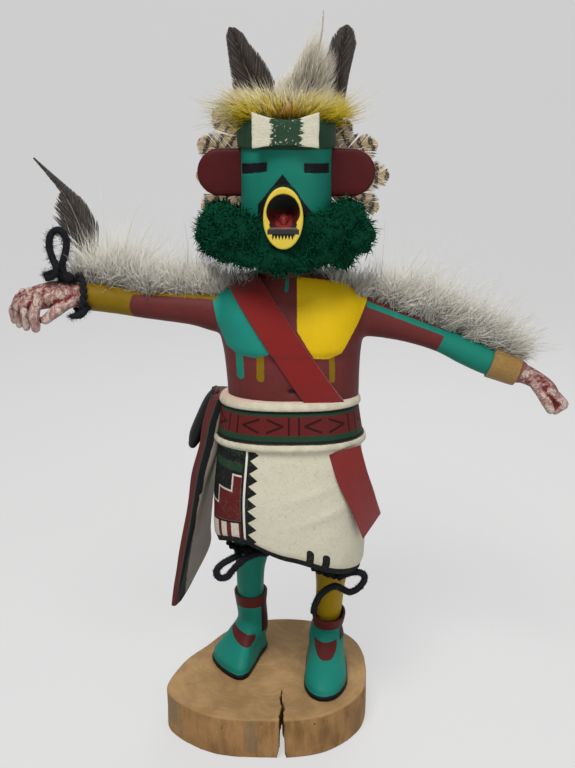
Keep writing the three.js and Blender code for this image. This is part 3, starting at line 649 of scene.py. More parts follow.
TIES = {
    "garter_right": {
        "centre": (-16.9, 4, 87), "radii": (10.8, 11.2), "along": (0, 0.1, -1),
        "knot": (-19, -8.6, 87), "nap": 0.8,
        "route": [
            [-20.8, -11.6, 86.6], [-25.5, -13, 84.8], [-30, -13.6, 82.2], [-32.4, -13.8, 78.8],
            [-31, -13.8, 75.8], [-27.6, -13.6, 76], [-25.4, -14.2, 79], [-22.6, -15.8, 83],
            [-18.6, -16.4, 86.8], [-13.6, -15.8, 88.6], [-8.6, -14.6, 88.4],
        ],
    },
    "garter_left": {
        "centre": (20.6, 1, 77), "radii": (10.2, 10.8), "along": (0, 0.1, -1),
        "knot": (21, -11, 76), "nap": 0.8,
        "route": [
            [22.8, -13.6, 75.6], [27.4, -14.2, 78], [31.6, -14.6, 79], [34.8, -14.4, 77.4],
            [34.6, -14, 73.8], [31.8, -14, 70.2], [28.2, -14.2, 68.8], [25, -15.4, 71],
            [21.6, -17.4, 73.4], [17.6, -17, 71.4], [14.4, -15.4, 67], [12.6, -13.8, 62],
            [12, -12.6, 57.6],
        ],
    },
    "wrist_yarn": {
        "centre": (-89.6, -5, 205.0), "radii": (8.2, 8.2), "along": (-0.9, -0.4, 0.05),
        "knot": (-93.6, -9.4, 213.0), "nap": 2.0,
        "route": [
            [-93.8, -10.6, 213], [-95, -10.4, 218.4], [-93.4, -10, 223.8], [-93, -9.2, 229.2],
            [-95.6, -8.8, 233], [-99, -9, 231.6], [-100.2, -9.6, 227], [-99, -10.8, 222],
            [-97.2, -11.8, 217.4], [-98.8, -12.2, 214.2], [-102, -12, 213.2],
        ],
        "lumps": (
            [
                [-101.6, -10.8, 214.6, 1.3, 1.4], [-98.6, -10.4, 215.0, 1.8, 1.6],
                [-95.6, -10, 214.2, 1.7, 1.6], [-92.6, -9.4, 212.4, 1.4, 1.4],
            ],
            [
                [-85.4, -11.8, 200.0, 1.2, 1.3], [-88.0, -12.4, 197.6, 1.7, 1.5],
                [-91.2, -12.4, 197.0, 1.2, 1.2],
            ],
        ),
    },
}


def yarn_finish():
    finish = Finish("black_wool", lit(20, 21, 24), Specular_IOR_Level=0.1)
    relief = finish.noise(0.7, 3.0, 0.7) * 0.5 + finish.noise(0.2, 2.0) * 0.15
    finish.coat(finish.noise(0.5, 3.0) * 0.5, lit(52, 54, 60))
    return finish.done(0.92, 0.06, relief, tone=0.25, size=0.8)


BLACK_WOOL = yarn_finish()


def yarn_end(word, tie, dice):
    """The free end: a cord on a smooth curve through its route, and the wool's hairs on it."""
    line = through(tie["route"], 72)
    data = bpy.data.curves.new(word + "_bow_yarn", "CURVE")
    data.dimensions = "3D"
    data.bevel_depth = YARN / 2 * MM
    data.bevel_resolution = 5
    data.use_fill_caps = True
    spline = data.splines.new("POLY")
    spline.points.add(len(line) - 1)
    flat = np.concatenate([(line + DOLL) * MM, np.ones((len(line), 1))], 1)
    spline.points.foreach_set("co", flat.astype(np.float32).ravel())
    data.materials.append(BLACK_WOOL)
    piece = belongs(placed(word + "_bow_yarn", data), [word + "_bow"])
    rows = np.concatenate([line, np.full((len(line), 2), YARN / 2 * 0.96)], 1)
    nap = fuzz(bar(rows, 12, 72), 900, tie["nap"], 0.09, dice)
    hair = build(word + "_bow_hairs", [nap], BLACK_WOOL)
    tuple((line[0] + DOLL) * MM)


KNOT = [
    [-2.4, 0.6, -0.6, 1.0, 1.0], [-1.2, -0.3, 0.5, 1.9, 1.7], [0.3, -0.5, 0.3, 2.3, 2.0],
    [1.7, 0, -0.4, 1.7, 1.6], [2.6, 0.7, -1, 0.8, 0.9],
]


def yarn_wrap(word, tie, dice):
    """Two strands wound round the limb, twisted about each other, and the knot that holds them."""
    direction = unit(np.array(tie["along"], float))
    back, side = crosswise(direction)
    turn = np.linspace(0, TAU, 97)[:-1]
    out = side * np.cos(turn)[:, None] + back * np.sin(turn)[:, None]
    rx, ry = tie["radii"]
    middle = tie["centre"] + side * (rx * np.cos(turn))[:, None]
    middle = middle + back * (ry * np.sin(turn))[:, None]
    angle = circle(14)
    ring = out[:, None] * np.cos(angle)[:, None] + direction * np.sin(angle)[:, None]
    grids = []
    for strand in (0, 1):
        twist = 9 * turn + strand * np.pi
        offset = out * (0.5 * np.cos(twist))[:, None] + direction * (0.62 * np.sin(twist))[:, None]
        grids.append((middle + offset)[:, None] + ring * (YARN * 0.36))
    parts = [skin(grid, rows_closed=True) for grid in grids]
    knot = np.array(KNOT) + [*tie["knot"], 0, 0]
    lump = bar(rounded(knot), 16, 28)
    lump = raised_by(lump, 0.25 * np.sin(lump[..., 0] * 3.4 + lump[..., 2] * 2.6))
    parts.append(skin(capped(lump)))
    for grid in (*grids, lump):
        parts.append(fuzz(grid, 320, tie["nap"], 0.08, dice))
    for lump in tie.get("lumps", ()):
        lump = bar(rounded(lump), 16, 24)
        parts += [skin(capped(lump)), fuzz(lump, 220, tie["nap"], 0.08, dice)]
    build(word + "_yarn", parts, BLACK_WOOL, [word])


wool_dice = np.random.default_rng(11)
for word, tie in TIES.items():
    yarn_end(word, tie, wool_dice)
for word, tie in TIES.items():
    yarn_wrap(word, tie, wool_dice)

# ---- the wooden base ----------------------------------------------------------------------

RIM = [
    [47.6, 0], [43.5, 24.8], [25.4, 42.8], [0, 46.0], [-20.5, 35.6], [-32.2, 18.6],
    [-43.4, -0.6], [-46.8, -25], [-26, -43.8], [0, -47.0], [25.4, -43.2], [43.4, -25.2],
]
CRACK_TIP = np.array([6.2, -20.0])
CRACK_MOUTH = np.array([6.6, -46.0])


def base_piece():
    """The slice is swept round the crack's tip. At each angle a profile runs out over the top,
    down the side and back underneath, and the missing wedge between the first and the last angle
    is the crack, whose two walls close the skin."""
    across, up, turns = 28, 12, 250
    rim = through(RIM, 720, closed=True) - CRACK_TIP
    rim_angle = np.unwrap(np.arctan2(rim[:, 1], rim[:, 0]))
    rim_away = np.linalg.norm(rim, axis=1)
    mouth = CRACK_MOUTH - CRACK_TIP
    first = math.atan2(mouth[1], mouth[0])
    angle = first + np.linspace(0, TAU, turns)
    order = np.argsort(rim_angle % TAU)
    reach = np.interp(angle % TAU, (rim_angle % TAU)[order], rim_away[order], period=TAU)
    t = np.linspace(0, 1, across) ** 0.8
    edge = np.array([[0, 0.9], [0.25, 0.35], [0.7, 0.06], [1.2, 0]])
    down = np.linspace(1.2, BASE_HEIGHT - 1.2, up)[1:-1]
    top = np.stack([t, np.full(across, BASE_HEIGHT), np.zeros(across)], -1)
    wall = np.stack([down, np.zeros(len(down))], -1)
    side = np.concatenate([edge, wall, [[BASE_HEIGHT - d, i] for d, i in edge[::-1]]])
    side = np.stack([np.ones(len(side)), BASE_HEIGHT - side[:, 0], side[:, 1]], -1)
    bottom = top[::-1] * [1, 0, 1]
    profile = np.concatenate([top[:-1], side, bottom[1:]])
    share, z, inset = profile[:, 0][None], profile[:, 1][None], profile[:, 2][None]
    away = (reach[:, None] - 0.9) * share + (0.9 - inset) * (share >= 1)
    half = 0.32 + 0.95 * (away / np.linalg.norm(mouth)) + 0.75 * ease((8 - z) / 8) * ease(away / 20)
    half = half + 0.18 * np.sin(away * 1.3 + 0.4 * z / 3) + 0.1 * np.sin(away * 3.1 + z)
    half = half + 0.14 * np.sin(z * 0.9)
    half = np.clip(half, 0.15, None) * ease(away / 4 + 0.1)
    pinch = np.minimum(half / np.maximum(away, 0.5), 0.4)
    spread = (np.arange(turns) / (turns - 1))[:, None]
    wave = 0.5 * np.sin(away * 0.42 + 0.9) / np.maximum(away, 6) * np.clip(away / 6, 0, 1)
    theta = first + pinch + spread * (TAU - 2 * pinch) + wave * (np.abs(2 * spread - 1) ** 8)
    x, y = CRACK_TIP[0] + away * np.cos(theta), CRACK_TIP[1] + away * np.sin(theta)
    grid = np.stack([x, y, np.broadcast_to(z, x.shape)], -1)
    waver = unevenness(grid, 14, 0.35) + unevenness(grid, 5, 0.1, 2)
    outer = np.clip((away / reach[:, None] - 0.9) / 0.1, 0, 1)
    grid[..., 0] -= outer * (0.25 + waver * 0.5) * np.cos(theta)
    grid[..., 1] -= outer * (0.25 + waver * 0.5) * np.sin(theta)
    grid[..., 2] -= (z >= BASE_HEIGHT) * np.abs(unevenness(grid, 18, 0.12, 4))
    sheets = [grid]
    half_way = grid.shape[1] // 2
    levels = np.linspace(0, 1, 12)[:, None, None]
    for column, step in ((0, -1), (-1, 1)):
        upper = grid[column, :half_way]
        lower = grid[column, ::-1][:half_way]
        sheets.append((upper * (1 - levels) + lower * levels)[:, ::step])
    points = np.concatenate([sheet.reshape(-1, 3) for sheet in sheets])
    quads, start = [], 0
    for sheet in sheets:
        height, width = sheet.shape[:2]
        number = start + np.arange(height * width).reshape(height, width)
        start += number.size
        corners = [number[:-1, :-1], number[:-1, 1:], number[1:, 1:], number[1:, :-1]]
        quads.append(np.stack(corners, -1).reshape(-1, 4))
    skinned = welded(points, np.concatenate(quads))
    build("wooden_base", [skinned], wood_finish(), ["base"], BASE_PLACE)


def wood_finish():
    finish = Finish("cottonwood", lit(172, 138, 94), Specular_IOR_Level=0.2)
    x, y, z = finish.place()
    fx, fy = x + float(DOLL[0]) + 4, y + float(DOLL[1]) - 4
    rings = (distance(fx, fy) + finish.noise(22, 3.0) * 26) * 1.5
    grain = finish.noise(0.9, 4.0, 0.65, stretch=(1, 1, 0.10))
    finish.coat((rings.sin() * 0.5 + 0.5) * 0.10, lit(108, 80, 46))
    finish.coat(grain * 0.3, lit(118, 88, 52))
    blot = finish.noise(15, 4.0, 0.62, bend=0.7)
    finish.coat((blot - 0.5).over(0.24) * 0.36, lit(100, 74, 44))
    side = (BASE_HEIGHT - 0.9 - z).over(1.0)
    finish.coat(side * 0.45, lit(150, 106, 58))
    streak = finish.noise(6, 4.0, 0.65, stretch=(1, 1, 0.25))
    finish.coat((streak - 0.55).over(0.2) * side * 0.55, lit(88, 60, 32))
    speck = finish.noise(1.1, 2.0, 0.6, stretch=(1, 1, 0.5))
    finish.coat((speck - 0.68).over(0.05) * side * (z - 12).over(6) * 0.8, lit(52, 36, 22))
    for px, wide, low in ((-43.5, 2.8, 6.0), (-7.5, 2.4, 4.0)):
        stain = (x + float(DOLL[0])).near(px, wide).low(z - low, (17 - low - (z - low) * 0.3))
        stain = stain + (streak - 0.5) * 3
        finish.coat(stain.over(3.4) * side * 0.55 * (-y).over(1), lit(104, 98, 80))
    fibres = finish.noise(0.5, 3.0, 0.6, stretch=(1, 1, 0.3))
    relief = grain * 0.2 + fibres * 0.12 + streak * 0.4 - speck * 0.1
    return finish.done(0.74, 0.12, relief, size=12)


base_piece()

# ---- head ---------------------------------------------------------------------------------


def build_wood(name, parts, finish):
    """A part of the carved figure."""
    return build(name, parts, finish, ["figure"])



SNOUT = {"x": -1.7, "z": 240.8, "wide": 8.0, "tall": 12.3, "front": -34.5}
EYES = ([-18.9, -8.3, 256.1, 260.3, 257.8, 261.6], [6.7, 17.2, 257.3, 261.2, 256.6, 260.6])


def mask_piece():
    """The mask is a stack of squared rings from the neck to the crown, with the two eye slots
    sunk into its front."""
    sides = [[z, MASK_RADIUS, MASK_POWER] for z in (230, 240, 250, 260, 268.5)]
    rows = [
        [208, 12.5, 2], [221, 12.5, 2], [226, 17.4, MASK_POWER], *sides,
        [279, 18.2, MASK_POWER], [282.5, 13.5, 2.1], [283.5, 7, 2],
    ]
    grid = stack([[z, *HEAD, r, r, power] for z, r, power in rows], 160, 110)
    x, y, z = grid[..., 0], grid[..., 1], grid[..., 2]
    depth = unevenness(grid, 9, 0.12)
    for x0, x1, low0, high0, low1, high1 in EYES:
        t = (x - x0) / (x1 - x0)
        low, high = low0 + (low1 - low0) * t, high0 + (high1 - high0) * t
        inside = np.minimum(np.minimum(x - x0, x1 - x), np.minimum(z - low, high - z))
        depth -= 0.55 * ease(inside / 0.7 + 0.3) * (y < 0)
    build_wood("mask", [skin(capped(raised_by(grid, depth)))], mask_finish())


def mask_finish():
    finish, relief = painted("turquoise_mask", DEEP_TURQUOISE)
    x, y, z = finish.place()
    front = (-4.0 - y).over(0.5)
    waver = finish.wander() * 0.5
    for x0, x1, low0, high0, low1, high1 in EYES:
        slot = finish.shape(x, z, [(x0, low0), (x1, low1), (x1, high1), (x0, high0)])
        finish.coat((slot + waver).over(0.2) * front, BLACK)
    corners = [(-2.0, 257.0), (-12.2, 244.5), (-12.5, 226), (10, 226), (12.6, 238)]
    muzzle = finish.shape(x, z, corners)
    finish.coat((muzzle + waver).over() * front, BLACK)
    finish.coat((227.5 - z).over(2.0), MAROON)
    return finish.done(0.5, 0.14, relief, tone=0.08, size=8)


def headband_piece():
    """A thick band round the mask with rounded edges, a little wavy like leather."""
    low, high = BAND
    profile = [
        # height, and how far in from the band's radius
        [low + 0.6, 2.4], [low + 0.1, 1.3], [low, 0.6], [low + 0.7, 0.05], [low + 3, 0],
        [high - 3, 0], [high - 0.7, 0.05], [high, 0.6], [high, 1.4], [high - 0.5, 3],
    ]
    rims = [(z, BAND_RADIUS - inset) for z, inset in profile]
    grid = stack([[z, *HEAD, rim, rim, MASK_POWER] for z, rim in rims], 150, 36)
    grid = raised_by(grid, unevenness(grid, 6, 0.12, 1))
    finish, relief = painted("green_headband", lit(38, 62, 44), brush=(0.35, 0.35, 1))
    finish.coat(finish.noise(1.2, 3.0) * 0.3, lit(24, 44, 36))
    build_wood("headband", [skin(grid)], finish.done(0.62, 0.12, relief))


def ear_piece(side, word):
    """A thick disc with one straight edge against the mask: half a circle with flat sides."""
    height, reach, start = 9.8, 27.4, 12.0
    turn = np.linspace(-np.pi / 2, np.pi / 2, 90)
    arc = np.stack([reach + height * np.cos(turn), height * np.sin(turn)], -1)
    lower = np.stack([np.linspace(start, reach, 24)[:-1], np.full(23, -height)], -1)
    inner = np.stack([np.full(18, start), np.linspace(height, -height, 20)[1:-1]], -1)
    outline = np.concatenate([lower, arc, lower[::-1] * [1, -1], inner])
    outline = outline * [side, 1] + [HEAD[0], 256.5]
    middle = np.array([HEAD[0] + side * 25.0, 256.5])
    rows = [
        (-5.5, POLE), (-5.5, 6), (-5.48, 3), (-5.4, 1.4), (-5.15, 0.6), (-4.7, 0.15), (-4.0, 0),
        (-3, 0), (-2, 0), (-1.3, 0.15), (-0.85, 0.6), (-0.6, 1.4), (-0.5, 3), (-0.5, 6),
        (-0.5, POLE),
    ]
    grid = pillow(outline, middle, rows)
    grid = raised_by(grid, unevenness(grid, 8, 0.08, side))
    build("ear_" + word + "_disc", [skin(grid)], EAR_RED, ["ear_" + word])


def ear_finish():
    finish, relief = painted("ear_maroon", lit(70, 20, 22), brush=(1, 1, 0.3))
    return finish.done(0.5, 0.12, relief, tone=0.09, size=7)


def snout_piece():
    """A tube of ellipses whose profile runs forward along the outside, over the rim and back into
    the open mouth, which narrows towards the throat."""
    cx, cz, wide, tall, front = (SNOUT[word] for word in ("x", "z", "wide", "tall", "front"))
    lip, roof = cz - 4.6, cz + 9.4
    middle = (lip + roof) / 2
    rows = [
        # y, centre z, half width, half height
        [-10, cz, wide + 0.2, tall + 0.2], [-20, cz, wide + 0.2, tall + 0.2],
        [-28, cz, wide + 0.1, tall + 0.1], [front + 1.6, cz, wide, tall],
        [front + 0.5, cz, wide - 0.12, tall - 0.12], [front + 0.1, cz, wide - 0.45, tall - 0.45],
        [front, cz + 0.3, wide - 0.9, tall - 1.2], [front + 0.02, middle - 0.8, wide - 1.1, 8.6],
        [front + 0.15, middle - 0.2, wide - 1.25, 7.6], [front + 0.7, middle, wide - 1.5, 7.0],
        [front + 2.4, middle - 0.1, wide - 2.0, 6.2], [front + 5, middle - 0.6, wide - 2.9, 4.9],
        [front + 7.6, middle - 1.2, wide - 4.2, 3.3], [front + 9, middle - 1.4, wide - 6, 1.6],
    ]
    y, z, half_wide, half_tall = (column[:, None] for column in through(rows, 120).T)
    angle = circle(104)
    c, s = np.cos(angle), np.sin(angle)
    inside = np.arange(120)[:, None] > 66
    low = np.where(inside & (s < 0), 0.85, 1.0)
    grid = np.stack(np.broadcast_arrays(cx + half_wide * c, y, z + half_tall * s * low), -1)
    tongue = [
        [cx + 0.2, -24.5, lip + 1.5, 1.6, 2.2], [cx + 0.2, -28.5, lip + 3.0, 1.9, 3.0],
        [cx + 0.2, -31.2, lip + 2.7, 1.2, 2.4],
    ]
    parts = [skin(capped(grid)), plug(tongue, 40, 40)]
    build("beak", parts, beak_finish(), ["snout"])


def beak_finish():
    """Black outside, a yellow rim with a scalloped inner edge, a grey roof and a dark red mouth
    inside, and below it a pink lip, a grey band and black teeth over the yellow chin."""
    finish, relief = painted("painted_beak", BLACK)
    x, y, z = finish.place()
    waver = finish.wander() * 0.4
    front = (SNOUT["front"] + 0.8 - y).over(0.3)
    face = (SNOUT["front"] + 2.0 - y).over(0.5)
    finish.coat(front, SNOUT_YELLOW)
    cx = SNOUT["x"]
    dx, dz = (x - cx) / 6.1, (z - 242.4) / 7.9
    within = (1 - distance(dx, dz)) * 6.6
    scallop = (z * 2.3 + 0.6).sin() * 0.35 + (x * 2.6).sin() * 0.35
    finish.coat(((within + scallop).low(z - 236.2) + waver).over(0.3) * face, BLACK)
    hollow = (y - SNOUT["front"] - 0.45).over(0.4) * (within + 1.6).over(0.4)
    finish.coat(hollow, lit(34, 37, 35))
    finish.coat(hollow * (243.6 - z + waver).over(0.9), lit(64, 20, 20))
    spots = (finish.noise(1.0, 3.0) - 0.55).over(0.1)
    finish.coat(hollow * spots * (243.6 - z).over(0.9) * 0.5, lit(94, 34, 32))
    tongue = x.near(cx + 0.2, 3.3).low(y - SNOUT["front"] - 0.9, z - 236.9, 241.4 - z)
    finish.coat(tongue.over(0.5), lit(118, 42, 38))
    saw = abs(x % 1.3 - 0.65) / 0.65
    teeth = (z - 232.3 - saw * 2.0).low(234.8 - z, x.near(cx + 0.1, 4.5))
    for inside, color in (
        (z.near(237.0, 0.4).low(x.near(cx, 5.6)), lit(110, 70, 66)),
        (z.near(235.6, 1.05).low(x.near(cx, 6.3)), lit(46, 48, 48)),
        (teeth, BLACK),
    ):
        finish.coat((inside + waver * 0.5).over(0.2) * face, color)
    return finish.done(0.42, 0.14, relief, tone=0.08, size=5)


def bow_piece():
    """A flat bow on the headband: a pillow whose top and bottom edges dip in the middle."""
    half, cx = 13.3, -0.8
    t = np.linspace(1, -1, 70)
    top = np.stack([half * t, 278.4 + 2.8 * t * t], -1)
    side = np.stack([np.full(20, -half), np.linspace(281.2, 267.2, 22)[1:-1]], -1)
    bottom = np.stack([-half * t, 268.2 - t * t], -1)
    outline = np.concatenate([top, side, bottom, side[::-1] * [-1, 1]]) + [cx, 0]
    middle = np.array([cx, 273.6])
    rows = [
        (-21.5, POLE), (-21.5, 3), (-21.5, 0.5), (-21.7, 0.12), (-22.2, 0), (-23.3, 0),
        (-23.8, 0.12), (-24.0, 0.45), (-24.1, 1.4), (-24.1, 3), (-24.1, 5), (-24.1, POLE),
    ]
    grid = pillow(outline, middle, rows)
    grid = raised_by(grid, unevenness(grid, 2.2, 0.12) + unevenness(grid, 6, 0.18, 3))
    finish = Finish("bow_paint", WHITE, Specular_IOR_Level=0.25)
    x = finish.place()[0]
    jag = (finish.noise(1.1, 3.0, 0.65, stretch=(0.25, 1, 1.3)) - 0.5) * 9
    finish.coat((x.near(-0.6, 6.0) + jag).over(0.3), lit(36, 62, 42))
    speck = finish.noise(0.9, 2.0)
    finish.coat((speck - 0.68).over(0.03) * 0.8, WHITE)
    relief = finish.noise(0.9, 4.0, 0.7) * 0.5 + finish.noise(0.3, 2.0) * 0.15
    made = finish.done(0.75, 0.1, relief, tone=0.1, size=2)
    build("headband_bow", [skin(grid)], made, ["head_bow"])


EAR_RED = ear_finish()
mask_piece()
headband_piece()
ear_piece(-1, "right")
ear_piece(1, "left")
snout_piece()
bow_piece()


def ruff_ring(around, angle, shrink):
    """A lumpy ring round the mask, deepest under the chin. shrink draws its section in."""
    front = 0.5 - 0.5 * np.sin(around)
    lump = 0.8 * np.sin(7 * around) + 0.5 * np.sin(11 * around + 1)
    tall = 10 + 3.2 * front + lump - shrink
    wide = 8 + 1.4 * front + lump - shrink
    out = 26.5 + 2.1 * np.abs(np.cos(around))
    deep = 22.5 + 2 * front
    reach = wide * np.cos(angle)
    x = -1 + (out + reach) * np.cos(around)
    y = -2 + (deep + reach) * np.sin(around)
    z = 231 - 0.8 * front + 1.6 * np.abs(np.cos(around)) + tall * np.sin(angle)
    return np.stack([x, y, z], -1)


def ruff_piece():
    """A lumpy ring of unravelled yarn: coarse and fine lumps, and short bent strands all over.
    In front it draws back from the snout."""
    dice = np.random.default_rng(5)
    around, angle = np.meshgrid(circle(190), circle(72), indexing="ij")
    beak = bell((np.cos(around) * 26 - SNOUT["x"]) / 10) * (np.sin(around) < 0)
    beak = beak * ease((np.sin(angle) + 0.75) / 0.8)
    ring = ruff_ring(around, angle, 1.5 + 5.6 * beak)
    lumps = sum(unevenness(ring, *wave) for wave in ((6.5, 2.8, 1), (2.9, 1.7, 3), (1.4, 0.6, 7)))
    ring = raised_by(ring, -lumps * (1 - 0.8 * beak))
    rows, columns = dice.integers(0, 190, 9300), dice.integers(0, 72, 9300)
    root, normal = ring[rows, columns], -outward(ring)[rows, columns]
    dx, dz = root[:, 0] - SNOUT["x"], root[:, 2] - SNOUT["z"]
    away = np.hypot(dx / SNOUT["wide"], dz / SNOUT["tall"])
    clear = (away > 1.3) | (root[:, 1] > -12)
    root, normal = root[clear], normal[clear]
    count = len(root)
    aims = unit(normal + 0.7 * random_directions(dice, count))
    bends = 0.8 * random_directions(dice, count)
    lengths = 2.6 * dice.uniform(0.5, 1.15, count)
    ends = hairs(root, aims, lengths, bends, 0.27, LOCK, dice)
    build("yarn_ruff", [skin(ring, rows_closed=True), ends], wool_finish(), ["ruff"])


def wool_finish():
    finish = Finish("green_wool", lit(6, 62, 41), Specular_IOR_Level=0.06)
    tip, chance = finish.mark("along"), finish.mark("chance")
    tuft = finish.noise(2.4, 3.0, 0.6)
    finish.coat((tuft - 0.35).over(0.4) * (chance + 0.3) * 0.6, lit(12, 88, 60))
    # Painted shade: each strand darkens towards its root, deep in the ruff.
    finish.coat((0.35 - tip).over(0.35) * 0.75, lit(2, 38, 26))
    return finish.done(0.9, 0.06, tuft * 0.5, tone=0.2, size=4)


ruff_piece()

# ---- body ---------------------------------------------------------------------------------

TORSO = [
    [150, 1.8, -2, 28, 23, 2.3], [160, 2.6, -2, 28.8, 24, 2.3], [170, 2.4, -2, 29.2, 24, 2.3],
    [180, 2.1, -1.5, 30, 22.5, 2.3], [189, 1.8, -1, 31.6, 21, 2.3], [197, 1.5, -0.5, 33, 19, 2.3],
    [203, 1.3, 0, 32, 17, 2.3], [207.5, 1, 0, 27.5, 15.5, 2.2], [211, 0.5, 0, 21, 13.8, 2.1],
    [214, 0, 0, 14, 12.5, 2],
]
PECTORALS = (-13.0, 16.5)
PECTORAL_FOOT = 181.6
NAVEL = (1.9, 167.3)
RIGHT_ARM = [
    [-14, 0, 195.5, 8.5, 9], [-28, -0.5, 196.42, 9.2, 8.8], [-40, -1, 197.95, 7.4, 7.4],
    [-52, -1.5, 199.15, 6.6, 6.8], [-63, -2, 200.25, 6.1, 6.4], [-72, -3, 201.95, 6.1, 6.3],
    [-80, -4, 203.33, 6.1, 6], [-90, -5, 204.4, 5.6, 5.4],
]
LEFT_ARM = [
    [14, 0, 195.5, 8.5, 9], [30, -0.5, 195.2, 9.2, 8.8], [43, -1, 192.4, 7.6, 7.4],
    [56, -1.5, 188.4, 6.2, 6.6], [67.5, -2, 184, 5.4, 6], [78, -3, 179.2, 5.8, 6],
    [90, -4, 174.2, 5.9, 5.8], [104, -5, 169.8, 5, 4.8],
]


def pectoral(x, z, middle, foot):
    """The swell of one side of the chest: a bell across it, rising at its foot and fading above."""
    risen = ease((z - foot + 1) / 2.6)
    return 1.5 * bell((x - middle) / 11.5) * risen * (1 - ease((z - foot - 5) / 20))


def chest_front(y):
    """0 at the sides and behind, 1 on the chest."""
    return ease((-4 - y) / 6)


def torso_grid():
    """The trunk as a stack of squared rings, with a pectoral on each side that ends in a soft
    ledge, the groove between them and the navel."""
    grid = stack(TORSO, 240, 150)
    x, y, z = grid[..., 0], grid[..., 1], grid[..., 2]
    rise = np.zeros_like(x)
    for middle in PECTORALS:
        foot = PECTORAL_FOOT + 0.012 * (x - middle) ** 2
        rise += pectoral(x, z, middle, foot)
        rise -= 0.5 * bell((x - middle) / 11.5) * bell((z - foot + 2) / 2.2)
    rise -= 2.6 * bell((x - NAVEL[0]) / 2.0) * bell((z - NAVEL[1]) / 1.3)
    rise -= 0.5 * bell((x - NAVEL[0]) / 3.0) * ease((z - 176) / 10) * (1 - ease((z - 200) / 8))
    return raised_by(grid, rise * chest_front(y))


def body_piece():
    parts = [skin(capped(torso_grid()))]
    for rows in (RIGHT_ARM, LEFT_ARM):
        limb = bar(rows, 96, 150)
        parts.append(skin(capped(raised_by(limb, unevenness(limb, 12, 0.15)))))
    fused("body", parts, 1.0, 8, skin_finish(), ["figure"])


def skin_finish():
    finish, relief = painted("skin_paint", MAROON, brush=(0.6, 1, 0.35))
    x, y, z = finish.place()
    front = (CHEST_BACK - y).over(0.6)
    waver = finish.wander() * 0.6
    blue = finish.shape(x, z, [
        (-33.6, 210), (-17, 210), (-2, 186.5), (-8.6, 182.4),
        (-13.7, 180.9), (-21, 181.6), (-26, 184.5), (-29.8, 191.9),
    ])
    gold = finish.shape(x, z, [
        (4, 214), (36.8, 208), (30.4, 194.5), (22.8, 182.4), (17, 180.4), (11.1, 181), (4, 192.4),
    ])
    worn = finish.noise(3.2, 4.0, 0.65, stretch=(1, 1, 0.3))
    finish.coat((worn - 0.5).over(0.4) * 0.35, lit(104, 42, 36))
    for low, high, width, color in (
        ((-20.0, 172.8), (-20.8, 188), 3.2, DEEP_TURQUOISE),
        ((-11.4, 172.6), (-11.6, 188), 3.2, OCHRE),
        ((18.9, 171.6), (18.6, 188), 2.4, OCHRE),
        ((-0.4, 208.6), (0.2, 216), 1.5, DEEP_TURQUOISE),
    ):
        stroke = finish.stroke(x, z, low, high, width)
        end = width / 2 - distance(x - low[0], z - low[1])
        finish.coat((stroke.high(end) + waver * 1.4).over(0.3) * front, color)
    finish.coat((blue + waver).over(0.3) * front, TURQUOISE)
    finish.coat((gold + waver).over(0.3) * front, YELLOW)
    over = (z - 203.2 + (x + 35) * 0.064).low(-30.5 - x, -0.5 - y)
    finish.coat((over + waver).over(0.3), OCHRE)
    over = z.near(200.4 - (x - 36) * 0.387, 1.1).low(x - 34, -0.4 - y)
    finish.coat((over + waver).over(0.3), DEEP_TURQUOISE)
    up = z - 201
    glove = -67.6 + up * up * 0.06 - x + up * 0.08
    finish.coat((glove + waver).low(-60 - x).over(0.3), OCHRE)
    along_left_arm = x * 0.92 - z * 0.39
    finish.coat((along_left_arm + 10.6 + waver).over(0.3), DEEP_TURQUOISE)
    finish.coat((along_left_arm - 25.9).over(0.3), lit(126, 84, 80))
    # Painted shade in the navel's dimple: a dark spot over the dent.
    dx, dz = (x - NAVEL[0]) / 1.9, (z - NAVEL[1] - 0.1) / 1.05
    finish.coat((1 - (dx * dx + dz * dz)).over(1.2) * front * 0.85, lit(30, 14, 14))
    finish.coat((finish.noise(0.8, 4.0, 0.7) - 0.7).over(0.08) * 0.5, lit(64, 30, 30))
    return finish.done(0.55, 0.16, relief, tone=0.1, size=9)


def keep_height(piece, rounds):
    """Keeps in "along" how far each point of a mesh stands above its surroundings, in millimetres:
    its distance along the normal from the mesh smoothed by averaging neighbours."""
    mesh = piece.data
    count = len(mesh.vertices)
    here, normal = np.empty(count * 3, np.float32), np.empty(count * 3, np.float32)
    mesh.vertices.foreach_get("co", here)
    mesh.vertex_normals.foreach_get("vector", normal)
    here, normal = here.reshape(-1, 3) / MM, normal.reshape(-1, 3)
    ends = np.empty(len(mesh.edges) * 2, np.int32)
    mesh.edges.foreach_get("vertices", ends)
    a, b = ends.reshape(-1, 2).T
    links = np.bincount(a, minlength=count) + np.bincount(b, minlength=count)
    smooth = here.astype(float)
    for _ in range(rounds):
        sums = [
            np.bincount(a, smooth[b, k], count) + np.bincount(b, smooth[a, k], count)
            for k in range(3)
        ]
        smooth = np.stack(sums, -1) / links[:, None]
    keep(mesh, "along", np.sum((here - smooth) * normal, 1))


def finger(root, knuckle, tip, thick):
    """A bent finger: a bar through its root, knuckle and tip, swelling at the joint."""
    a, b, c = (np.array(p, float) for p in (root, knuckle, tip))
    rows = [
        [*(a + (a - b) * 0.5), thick, thick], [*a, thick * 1.06, thick * 1.05],
        [*((a + b) / 2), thick * 0.97, thick * 0.97], [*b, thick * 1.08, thick * 1.05],
        [*((b + c) / 2), thick * 0.95, thick * 0.92], [*c, thick * 0.84, thick * 0.84],
    ]
    return plug(rows, 24, 56)


